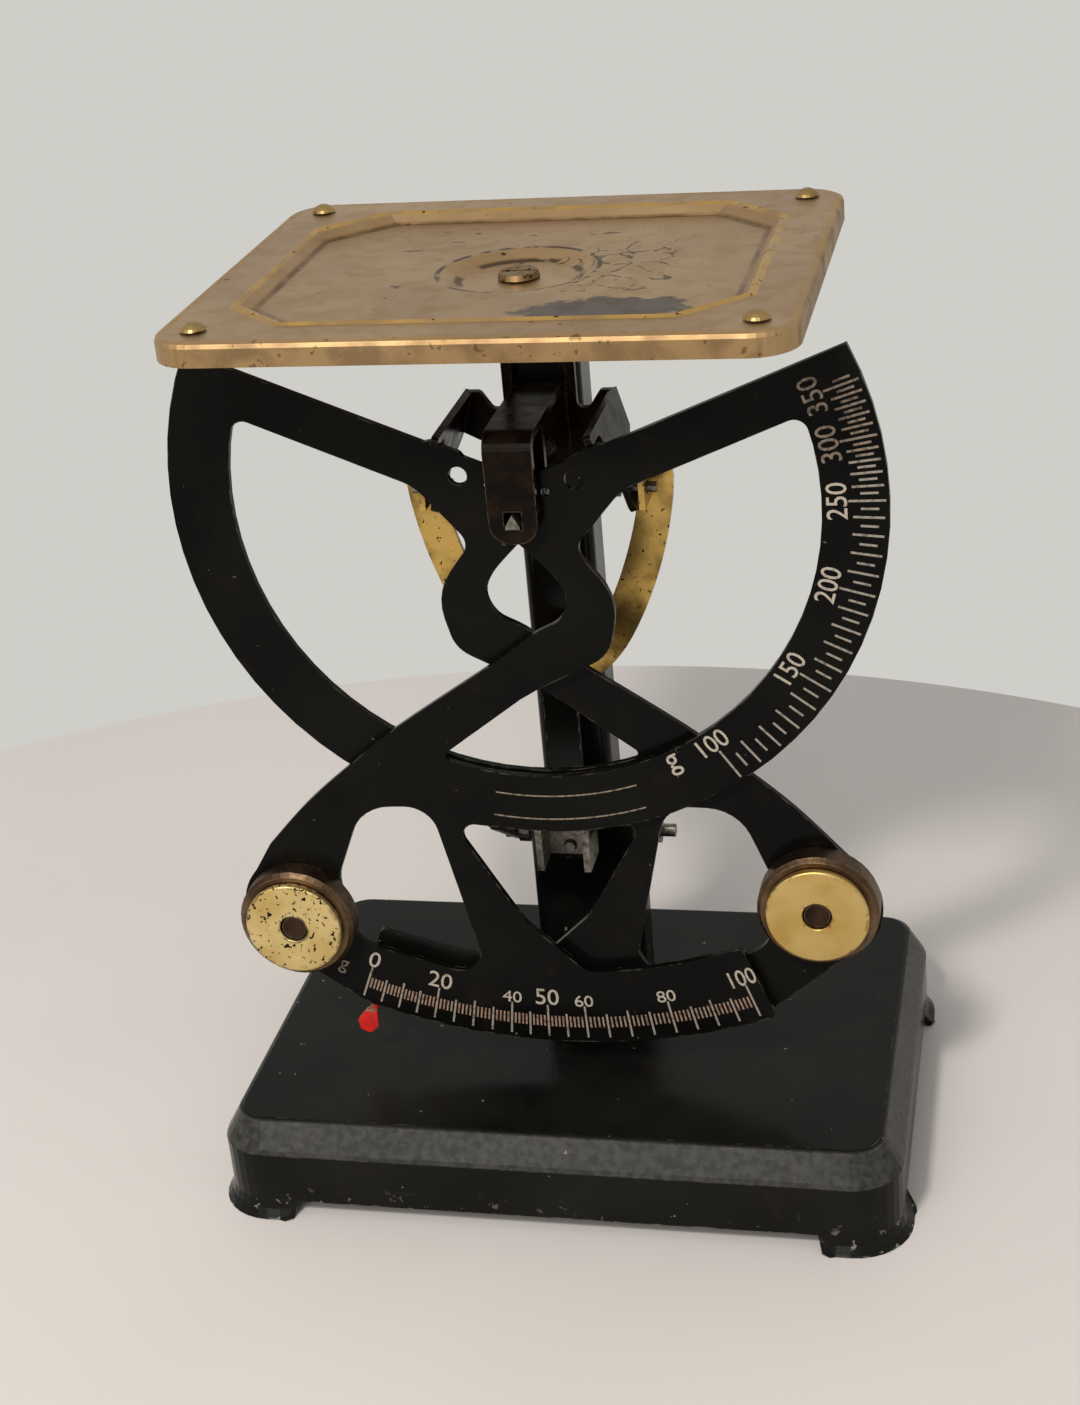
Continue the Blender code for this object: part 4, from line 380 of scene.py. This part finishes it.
def bright_brass(name, light, dark, spot, spot_low, chip_low, least_roughness):
    """Brass kept brighter by handling: gold with cloudy tarnish, dark corrosion pits and chipped edges."""
    material, tree, place = new_finish(name)
    cloud = patches(tree, place, 7.0, 0.35, 0.72, detail=5.0)
    chips = patches(tree, place, 1.3, chip_low, chip_low + 0.06, within=edges(tree, 0.9, sharp=0.96))
    pits = patches(tree, place, 0.9, spot_low, spot_low + 0.04, detail=3.0)
    pits = add_node(tree, "ShaderNodeMath", {0: pits, 1: chips}, operation="MAXIMUM")
    colour = layered(tree, linear(light), (cloud, dark), (pits, spot))
    roughness = add_node(tree, "ShaderNodeMath", {
        0: add_node(tree, "ShaderNodeMapRange", {0: cloud, 3: least_roughness, 4: least_roughness + 0.14}),
        1: add_node(tree, "ShaderNodeMapRange", {0: pits, 3: 0.0, 4: 0.3}),
    }, operation="ADD")

    # The real polishing grain is about 0.05 mm, and is drawn this coarse so that it shows
    relief = add_node(tree, "ShaderNodeMath", {
        0: patches(tree, place, 0.5, 0.3, 0.7),
        1: add_node(tree, "ShaderNodeMapRange", {0: pits, 3: 0.0, 4: 4.0}),
    }, operation="SUBTRACT")
    close_finish(tree, colour, roughness, relief, 0.00001, 0.5, {"Metallic": 1.0})
    return material


def plain_steel():
    """Bare turned steel, greyed by age: a dull shine with fine grain and brown spots."""
    material, tree, place = new_finish("aged_bare_steel")

    # The real grain is about 0.05 mm, and is drawn this coarse so that it shows
    grain = patches(tree, place, 0.8, 0.3, 0.7, detail=5.0)
    spots = patches(tree, place, 2.5, 0.50, 0.70, detail=5.0)
    colour = layered(tree, linear("#8d8880"), (grain, "#6a655e"), (spots, "#4c4339"))
    roughness = add_node(tree, "ShaderNodeMapRange", {0: grain, 3: 0.34, 4: 0.50})
    close_finish(tree, colour, roughness, grain, 0.00001, 0.4, {"Metallic": 1.0})
    return material


# Height on the zero pointer below which its drop keeps the lacquer
DROP_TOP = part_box("zero_pointer")[0].z + 0.0042
DROP_FADE = 0.0006


def red_lacquer():
    """Bright red lacquer, brushed on: glossy, slightly uneven, worn off the pointer's stem to dull steel."""
    material, tree, place = new_finish("brushed_red_lacquer")
    cloud = patches(tree, place, 1.6, 0.3, 0.7)
    height = add_node(tree, "ShaderNodeSeparateXYZ", {0: place}, output="Z")
    stem = add_node(tree, "ShaderNodeMapRange", {0: height, 1: DROP_TOP, 2: DROP_TOP + DROP_FADE}, **SMOOTH)
    worn = patches(tree, place, 1.2, 0.36, 0.46, within=stem)
    colour = layered(tree, linear("#d3201a"), (cloud, "#a81512"), (worn, "#8b735c"))
    roughness = add_node(tree, "ShaderNodeMapRange", {0: cloud, 3: 0.25, 4: 0.38})
    close_finish(tree, colour, roughness, cloud, 0.00002, 0.4, {"IOR": 1.5})
    return material


def scale_paint(name, bright, worn, keep_low):
    """Cream printing ink on the enamel: matt, thin, rubbed to brown in places."""
    material, tree, place = new_finish(name)
    rub = patches(tree, place, 0.9, keep_low, keep_low + 0.25, detail=5.0)
    colour = layered(tree, linear(bright), (rub, worn))
    roughness = add_node(tree, "ShaderNodeMapRange", {0: rub, 3: 0.55, 4: 0.70})
    close_finish(tree, colour, roughness, rub, 0.00001, 0.4, {"IOR": 1.5})
    return material


ENAMEL = japanned_enamel("black_japanned_enamel", "#0b0b09", "#141411", "#1a1510", "#7a756b", 0.11)
PLATE_ENAMEL = japanned_enamel("black_japanned_plate", "#080807", "#0f0f0c", "#17110b", "#4f4a42", 0.06)
LACQUER = brown_lacquer("baked_brown_lacquer", "#0d0906", "#1f140c", "#574533")
BROWNED = browned_steel("oil_browned_steel", "#2c2119", "#453529", "#84796b", 0.36)
DRUM_STEEL = browned_steel("rust_browned_steel", "#4a382b", "#6e5842", "#9a8566", 0.40)
BARE_STEEL = plain_steel()
PAN_BRASS = patinated_brass()
BOW_BRASS = bright_brass("rubbed_bow_brass", "#c2a05a", "#66522a", "#2c1f0f", 0.67, 0.62, 0.27)
PITTED_BRASS = bright_brass("pitted_disc_brass", "#dcc58c", "#c9ad6c", "#2c2417", 0.60, 0.47, 0.42)
SMOOTH_BRASS = bright_brass("smooth_disc_brass", "#cdb172", "#bf9d57", "#5b4526", 0.74, 0.60, 0.36)
STUD_BRASS = bright_brass("worn_stud_brass", "#b0925f", "#8d734c", "#4a3417", 0.66, 0.62, 0.34)
SCREW_BRASS = bright_brass("dulled_screw_brass", "#947a55", "#6f5a3e", "#3f2e1a", 0.62, 0.60, 0.42)
POINTER_RED = red_lacquer()
INK = scale_paint("cream_scale_ink", "#a99e8d", "#74665a", 0.50)
TICK_INK = scale_paint("faded_scale_ink", "#8f8476", "#5b5047", 0.46)
WORN_INK = scale_paint("worn_scale_ink", "#877563", "#4c3e32", 0.42)
FINE_INK = scale_paint("rubbed_fine_ink", "#947863", "#5c4536", 0.44)


def new_piece(name, form, material, body):
    """A closed mesh in the frame's own coordinates, riding on a body."""
    bmesh.ops.recalc_face_normals(form, faces=form.faces)
    mesh = bpy.data.meshes.new(name)
    form.to_mesh(mesh)
    form.free()
    mesh.materials.append(material)
    piece = bpy.data.objects.new(name, mesh)
    bpy.context.scene.collection.objects.link(piece)
    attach(piece, body)
    return piece


def print_piece(name, form, ink):
    """A piece of printed paint, which rides on the front pendulum."""
    new_piece(name, form, ink, "front_pendulum")


def on_plate(radius, angle):
    """A place on the front plate from its distance to the pivot and its angle from straight down."""
    return (PIVOT.x + radius * math.sin(angle), PIVOT.z - radius * math.cos(angle))


def prism(form, outline):
    """A thin closed slab of paint on the plate's face from an outline of (x, z) points."""
    front = [form.verts.new((x, PLATE_FACE - PAINT_PROUD, z)) for x, z in outline]
    back = [form.verts.new((x, PLATE_FACE + PAINT_SUNK, z)) for x, z in outline]
    form.faces.new(front)
    form.faces.new(back[::-1])
    count = len(outline)
    for k in range(count):
        form.faces.new((front[k], back[k], back[(k + 1) % count], front[(k + 1) % count]))


def tick(form, angle, inner, outer, width):
    """One radial scale line."""
    along = Vector((math.sin(angle), -math.cos(angle)))
    across = Vector((math.cos(angle), math.sin(angle))) * width / 2
    middle = Vector((PIVOT.x, PIVOT.z))
    near = middle + along * inner
    far = middle + along * outer
    prism(form, [near - across, near + across, far + across, far - across])


def ring_band(form, radius, width, start, end, steps):
    """An arc-shaped line about the pivot."""
    outline = []
    for side, order in ((-0.5, range(steps + 1)), (0.5, range(steps, -1, -1))):
        for index in order:
            angle = start + (end - start) * index / steps
            outline.append(on_plate(radius + width * side, angle))
    prism(form, outline)


def scale_angle(marks, value):
    """The angle of a reading, on one smooth curve through the marks with a known angle."""
    readings = [mark[0] for mark in marks]
    slopes = []
    for k in range(len(marks)):
        low = marks[max(k - 1, 0)]
        high = marks[min(k + 1, len(marks) - 1)]
        slopes.append((high[1] - low[1]) / (high[0] - low[0]))
    k = max(0, min(len(marks) - 2, sum(1 for reading in readings if reading <= value) - 1))
    span = readings[k + 1] - readings[k]
    t = (value - readings[k]) / span
    before, after = marks[k][1], marks[k + 1][1]
    curve = (2 * t**3 - 3 * t**2 + 1) * before + (t**3 - 2 * t**2 + t) * span * slopes[k]
    curve += (3 * t**2 - 2 * t**3) * after + (t**3 - t**2) * span * slopes[k + 1]
    return math.radians(curve)


# The figures' letterform: height of a figure as a share of the letter size, growth of its strokes as a
# share of its height, spacing, steps of a curve, and how close points are merged
FIGURE_SHARE = 0.73
STROKE_GROWTH = 0.004
FIGURE_SPACING = 0.98
FIGURE_CURVE_STEPS = 3
FIGURE_MERGE = 0.000002


def figure(name, text, angle, radius, height, width_share, ink):
    """Plain figures printed on the plate: the middle of the text sits at a radius and an angle."""
    curve = bpy.data.curves.new("figure", "FONT")
    curve.body = text
    curve.size = height / FIGURE_SHARE
    curve.align_x = "CENTER"
    curve.align_y = "CENTER"
    curve.offset = height * STROKE_GROWTH
    curve.space_character = FIGURE_SPACING
    curve.resolution_u = FIGURE_CURVE_STEPS
    curve.extrude = (PAINT_PROUD + PAINT_SUNK) / 2
    item = bpy.data.objects.new("figure", curve)
    bpy.context.scene.collection.objects.link(item)
    mesh = bpy.data.meshes.new_from_object(item.evaluated_get(bpy.context.evaluated_depsgraph_get()))
    bpy.data.objects.remove(item, do_unlink=True)
    bpy.data.curves.remove(curve)
    xs = [vert.co.x for vert in mesh.vertices]
    ys = [vert.co.y for vert in mesh.vertices]
    centre = Vector(((min(xs) + max(xs)) / 2, (min(ys) + max(ys)) / 2, 0.0))
    x, z = on_plate(radius, angle)
    stand = Matrix.Rotation(math.pi / 2, 4, "X")
    turn = Matrix.Rotation(-angle, 4, "Y")
    narrow = Matrix.Diagonal((width_share, 1.0, 1.0, 1.0))
    place = Matrix.Translation((x, PLATE_FACE + (PAINT_SUNK - PAINT_PROUD) / 2, z))
    mesh.transform(place @ turn @ stand @ narrow @ Matrix.Translation(-centre))
    form = bmesh.new()
    form.from_mesh(mesh)
    bpy.data.meshes.remove(mesh)
    bmesh.ops.remove_doubles(form, verts=form.verts, dist=FIGURE_MERGE)
    print_piece(name, form, ink)


# Lower scale, in grams: readings with their angles in degrees from straight down
LOWER_MARKS = ((0, -21.3), (20, -13.7), (40, -5.6), (50, -1.7), (60, 2.35), (80, 11.5), (100, 20.3))

# Its lines: inner end of a five, a ten and a numbered line, their outer end and width, then the fine ones
LOWER_INNER = 0.0960
LOWER_TEN_INNER = 0.0954
LOWER_NAMED_INNER = 0.0943
LOWER_OUTER = 0.1008
LOWER_LINE = 0.00036
FINE_INNER = 0.0965
FINE_OUTER = 0.0987
FINE_LINE = 0.00032

# Its figures: reading, radius, height and share of their width
LOWER_FIGURES = (
    (0, 0.0926, 0.0034, 0.98),
    (20, 0.0926, 0.0034, 0.98),
    (50, 0.0926, 0.0034, 0.98),
    (100, 0.0926, 0.0034, 0.80),
    (40, 0.0932, 0.0024, 1.10),
    (60, 0.0932, 0.0024, 1.10),
    (80, 0.0932, 0.0024, 1.10),
)
LOWER_UNIT_ANGLE = math.radians(-24.3)
LOWER_UNIT_RADIUS = 0.0965
LOWER_UNIT_HEIGHT = 0.0030
UNIT_WIDTH_SHARE = 0.90

# Ring scale, in grams: readings with their angles, then the ends of its lines and their width
RING_MARKS = ((100, 35.3), (150, 57.0), (200, 74.9), (250, 90.9), (300, 101.5), (350, 110.6))
RING_FIFTY = (0.0526, 0.0584)
RING_TEN = (0.0533, 0.0582)
RING_FIVE = (0.0545, 0.0573)
RING_LINE = 0.00038

# Reading above which the ring's print is worn
RING_WORN_ABOVE = 280

# The ring's figures, its unit, and the two plain rules beside them
RING_FIGURE_RADIUS = 0.0508
RING_FIGURE_HEIGHT = 0.0034
RING_FIGURE_WIDTH_SHARE = 0.92
RING_UNIT_ANGLE = math.radians(26.5)
RING_UNIT_RADIUS = 0.0511
RING_UNIT_HEIGHT = 0.0042
RULE_RADII = (0.0522, 0.0566)
RULE_LINE = 0.00025
RULE_START = math.radians(-9.0)
RULE_END = math.radians(18.0)
RULE_STEPS = 18


def print_lower_scale():
    """The 0 to 100 scale along the bottom band."""
    named = [mark[0] for mark in LOWER_MARKS]
    lines = bmesh.new()
    for value in range(0, 101, 5):
        inner = LOWER_INNER
        if value in named:
            inner = LOWER_NAMED_INNER
        elif value % 10 == 0:
            inner = LOWER_TEN_INNER
        tick(lines, scale_angle(LOWER_MARKS, value), inner, LOWER_OUTER, LOWER_LINE)
    print_piece("lower_scale_lines", lines, TICK_INK)
    fine = bmesh.new()
    for gram in range(100):
        if gram % 5:
            tick(fine, scale_angle(LOWER_MARKS, gram), FINE_INNER, FINE_OUTER, FINE_LINE)
    print_piece("lower_scale_fine_lines", fine, FINE_INK)
    for value, radius, height, width_share in LOWER_FIGURES:
        angle = scale_angle(LOWER_MARKS, value)
        figure("lower_figure_%d" % value, str(value), angle, radius, height, width_share, INK)
    figure(
        "lower_unit", "g", LOWER_UNIT_ANGLE, LOWER_UNIT_RADIUS, LOWER_UNIT_HEIGHT, UNIT_WIDTH_SHARE, WORN_INK,
    )


def print_ring_scale():
    """The 100 to 350 scale along the ring."""
    bright = bmesh.new()
    worn = bmesh.new()
    for value in range(100, 356, 5):
        inner, outer = RING_FIVE
        if value % 50 == 0:
            inner, outer = RING_FIFTY
        elif value % 10 == 0:
            inner, outer = RING_TEN
        lines = worn if value > RING_WORN_ABOVE else bright
        tick(lines, scale_angle(RING_MARKS, value), inner, outer, RING_LINE)
    print_piece("ring_scale_lines", bright, TICK_INK)
    print_piece("ring_scale_worn_lines", worn, WORN_INK)
    for value, degrees in RING_MARKS:
        figure(
            "ring_figure_%d" % value, str(value), math.radians(degrees), RING_FIGURE_RADIUS,
            RING_FIGURE_HEIGHT, RING_FIGURE_WIDTH_SHARE, WORN_INK if value > RING_WORN_ABOVE else INK,
        )
    figure("ring_unit", "g", RING_UNIT_ANGLE, RING_UNIT_RADIUS, RING_UNIT_HEIGHT, UNIT_WIDTH_SHARE, INK)
    rules = bmesh.new()
    for radius in RULE_RADII:
        ring_band(rules, radius, RULE_LINE, RULE_START, RULE_END, RULE_STEPS)
    print_piece("ring_rules", rules, WORN_INK)


print_lower_scale()
print_ring_scale()

# The brass discs: sides, bore, rounding of the rim, dip of the face towards the bolt, and shading of edges
DISC_SIDES = 96
DISC_BORE = 0.0025
DISC_RIM = 0.0004
DISC_RIM_STEPS = 5
DISC_DIP = 0.00012
DISC_SHARP_FROM = math.radians(40.0)


def weight_disc(node, body, material):
    """A turned brass disc with a rounded rim and a face that dips by a hair towards the bolt."""
    low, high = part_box(node)
    front, back = low[1], high[1]
    centre_x, centre_z = (low[0] + high[0]) / 2, (low[2] + high[2]) / 2
    outer = (high[0] - low[0]) / 2
    profile = [
        (DISC_BORE, back),
        (DISC_BORE, front + DISC_DIP * 2),
        (DISC_BORE + DISC_DIP, front + DISC_DIP),
        ((DISC_BORE + outer) / 2, front + DISC_DIP / 2),
    ]
    for step in range(DISC_RIM_STEPS + 1):
        angle = math.pi / 2 * step / DISC_RIM_STEPS
        profile.append((outer - DISC_RIM * (1 - math.sin(angle)), front + DISC_RIM * (1 - math.cos(angle))))
    profile.append((outer, back))

    form = bmesh.new()
    rings = []
    for index in range(DISC_SIDES):
        angle = math.tau * index / DISC_SIDES
        across, rise = math.cos(angle), math.sin(angle)
        rings.append([form.verts.new((centre_x + r * across, y, centre_z + r * rise)) for r, y in profile])
    count = len(profile)
    for ring, following in zip(rings, rings[1:] + rings[:1]):
        for k in range(count):
            form.faces.new((ring[k], ring[(k + 1) % count], following[(k + 1) % count], following[k]))
    piece = new_piece(node + "_turned", form, material, body)
    piece.data.shade_smooth()
    piece.data.set_sharp_from_angle(angle=DISC_SHARP_FROM)
    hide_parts(node)


weight_disc("front_weight_disc", "front_pendulum", PITTED_BRASS)
weight_disc("rear_weight_disc", "rear_pendulum", SMOOTH_BRASS)

# Finish of each node that shows, and how far its edges are rounded in mm
NODE_FINISHES = {
    "base_shell": (ENAMEL, 0.25),
    "pillar": (ENAMEL, 0.15),
    "pillar_screw_left": (BARE_STEEL, 0.15),
    "pillar_screw_right": (BARE_STEEL, 0.15),
    "pillar_nut_left": (BARE_STEEL, 0.12),
    "pillar_nut_right": (BARE_STEEL, 0.12),
    "bearing_strap": (LACQUER, 0.15),
    "strap_rivet_lower": (BROWNED, 0.08),
    "strap_rivet_upper": (BROWNED, 0.08),
    "knife_edge": (BARE_STEEL, 0.05),
    "front_washer": (BROWNED, 0.06),
    "middle_washer": (BROWNED, 0.06),
    "rear_washer": (BROWNED, 0.06),
    "lever_pivot_pin": (BARE_STEEL, 0.08),
    "lever_washer_left": (BARE_STEEL, 0.06),
    "lever_washer_right": (BARE_STEEL, 0.06),
    "front_plate": (PLATE_ENAMEL, 0.12),
    "front_weight_drum": (DRUM_STEEL, 0.15),
    "front_weight_backing": (DRUM_STEEL, 0.12),
    "front_weight_bolt": (BROWNED, 0.15),
    "rear_plate": (PLATE_ENAMEL, 0.12),
    "rear_weight_drum": (DRUM_STEEL, 0.15),
    "rear_weight_backing": (DRUM_STEEL, 0.12),
    "rear_weight_bolt": (BROWNED, 0.15),
    "zero_pointer": (POINTER_RED, 0.10),
    "pointer_rivet_upper": (BROWNED, 0.05),
    "pointer_rivet_lower": (BROWNED, 0.05),
    "pan_tray": (PAN_BRASS, 0.12),
    "pan_stud_front_left": (STUD_BRASS, 0.06),
    "pan_stud_back_left": (STUD_BRASS, 0.06),
    "pan_stud_front_right": (STUD_BRASS, 0.06),
    "pan_stud_back_right": (STUD_BRASS, 0.06),
    "pan_screw": (SCREW_BRASS, 0.10),
    "pan_nut": (BROWNED, 0.12),
    "pan_yoke": (LACQUER, 0.15),
    "guide_bow": (BOW_BRASS, 0.12),
    "bow_pin_left": (BARE_STEEL, 0.08),
    "bow_pin_right": (BARE_STEEL, 0.08),
    "guide_strip": (ENAMEL, 0.12),
    "guide_foot": (BARE_STEEL, 0.12),
    "foot_rivet_lower": (BARE_STEEL, 0.08),
    "foot_rivet_upper": (BARE_STEEL, 0.08),
    "guide_rivet_lower": (BROWNED, 0.08),
    "guide_rivet_upper": (BROWNED, 0.08),
    "lever_cheek_left": (BARE_STEEL, 0.12),
    "lever_cheek_right": (BARE_STEEL, 0.12),
    "lever_front_pin": (BARE_STEEL, 0.08),
}
ROUNDING_STEPS = 2
ROUNDED_FROM = math.radians(32.0)


def dress_nodes():
    """Give each shown node its finish and a fine rounding of its edges."""
    for name, (material, rounding) in NODE_FINISHES.items():
        node = frame["nodes"][name]
        for slot in node.material_slots:
            slot.link = "OBJECT"
            slot.material = material
        bevel = node.modifiers.new("edge rounding", "BEVEL")
        bevel.width = rounding * MM
        bevel.segments = ROUNDING_STEPS
        bevel.limit_method = "ANGLE"
        bevel.angle_limit = ROUNDED_FROM
        bevel.use_clamp_overlap = True
        bevel.harden_normals = True


dress_nodes()

# Camera: the photograph's place and viewing angle, without shift. Its focal length is a share of the
# frame's height, both in pixels of the photograph.
CAMERA_TARGET = (-0.003574, 0.0, 0.082471)
CAMERA_DISTANCE = 0.403781
CAMERA_AZIMUTH = math.radians(14.0882)
CAMERA_ELEVATION = math.radians(25.7399)
CAMERA_ROLL = math.radians(-5.3562)
CAMERA_FOCAL_SHARE = 2317.986 / 1405
SENSOR = 36.0
CAMERA_NEAREST = 0.01


def set_camera():
    """A camera that looks at the object from the photograph's place."""
    back = Vector((
        math.sin(CAMERA_AZIMUTH) * math.cos(CAMERA_ELEVATION),
        -math.cos(CAMERA_AZIMUTH) * math.cos(CAMERA_ELEVATION),
        math.sin(CAMERA_ELEVATION),
    ))
    side = Vector((0.0, 0.0, 1.0)).cross(back).normalized()
    rise = back.cross(side)
    cosine, sine = math.cos(CAMERA_ROLL), math.sin(CAMERA_ROLL)
    right = side * cosine + rise * sine
    up = rise * cosine - side * sine
    lens = bpy.data.cameras.new("photo_camera")
    lens.lens = CAMERA_FOCAL_SHARE * SENSOR
    lens.sensor_width = SENSOR
    lens.clip_start = CAMERA_NEAREST
    camera = bpy.data.objects.new("photo_camera", lens)
    bpy.context.scene.collection.objects.link(camera)
    turn = Matrix((right, up, back)).transposed().to_4x4()
    camera.matrix_world = Matrix.Translation(Vector(CAMERA_TARGET) + back * CAMERA_DISTANCE) @ turn
    bpy.context.scene.camera = camera


def matt_paint(name, colour, speckle):
    """Plain matt paint of the table: even, with a trace of grain."""
    material, tree, place = new_finish(name)
    cloud = patches(tree, place, 90.0, 0.3, 0.7)
    tint = layered(tree, linear(colour), (cloud, speckle))
    shader = add_node(tree, "ShaderNodeBsdfPrincipled", {"Base Color": tint, "Roughness": 0.6})
    add_node(tree, "ShaderNodeOutputMaterial", {"Surface": shader})
    return material


# The round table top, which lies just under the feet
TABLE_CENTRE = (-0.0155, -0.0831)
TABLE_RADIUS = 0.2719
TABLE_SIDES = 160
TABLE_DROP = 0.0001


def set_stage():
    """A pale round table top. The pale wall behind it comes from the world, so it hides no side."""
    rim = []
    for index in range(TABLE_SIDES):
        angle = math.tau * index / TABLE_SIDES
        rim.append((
            TABLE_CENTRE[0] + TABLE_RADIUS * math.cos(angle),
            TABLE_CENTRE[1] + TABLE_RADIUS * math.sin(angle),
            -TABLE_DROP,
        ))
    mesh = bpy.data.meshes.new("table_top")
    mesh.from_pydata(rim, [], [list(range(TABLE_SIDES))])
    mesh.materials.append(matt_paint("matt_table_paint", "#e2dad3", "#ded6cf"))
    table = bpy.data.objects.new("table_top", mesh)
    bpy.context.scene.collection.objects.link(table)


# The lights: name, direction from the object, distance, size, watts and colour
LIGHTS = (
    ("key", (-0.22, -0.93, 1.0), 1.1, 0.12, 6.2, "#fffefa"),
    ("fill", (-0.22, -0.84, 0.49), 0.9, 0.45, 2.4, "#fffefc"),
)
LIGHT_AIM = Vector((0.0, 0.0, 0.08))
ROOM_STRENGTH = 0.50


def area_light(name, direction, distance, size, watts, colour):
    """A square soft light that faces the object."""
    lamp = bpy.data.lights.new(name, "AREA")
    lamp.size = size
    lamp.energy = watts
    lamp.color = linear(colour)[:3]
    item = bpy.data.objects.new(name, lamp)
    bpy.context.scene.collection.objects.link(item)
    away = Vector(direction).normalized()
    turn = away.to_track_quat("Z", "Y").to_matrix().to_4x4()
    item.matrix_world = Matrix.Translation(LIGHT_AIM + away * distance) @ turn


def set_light():
    """A small key light from the upper left front, a broad fill beside the camera and an even room.

    Rays from the camera and off glossy surfaces see the pale wall instead of the dimmer room.
    """
    for light in LIGHTS:
        area_light(*light)
    world = bpy.data.worlds.new("room")
    world.use_nodes = True
    tree = world.node_tree
    tree.nodes.clear()
    room = add_node(tree, "ShaderNodeBackground", {"Color": linear("#f6f7f8"), "Strength": ROOM_STRENGTH})
    wall = add_node(tree, "ShaderNodeBackground", {"Color": linear("#cfcec8"), "Strength": 1.0})
    shows_wall = add_node(tree, "ShaderNodeLightPath", {}, output="Is Camera Ray")
    rays = shows_wall.node.outputs
    for kind in ("Is Glossy Ray", "Is Transmission Ray"):
        shows_wall = add_node(tree, "ShaderNodeMath", {0: shows_wall, 1: rays[kind]}, operation="MAXIMUM")
    backdrop = add_node(tree, "ShaderNodeMixShader", {0: shows_wall, 1: room, 2: wall})
    add_node(tree, "ShaderNodeOutputWorld", {"Surface": backdrop})
    bpy.context.scene.world = world


set_camera()
set_stage()
set_light()
bpy.context.scene.view_settings.view_transform = "Standard"
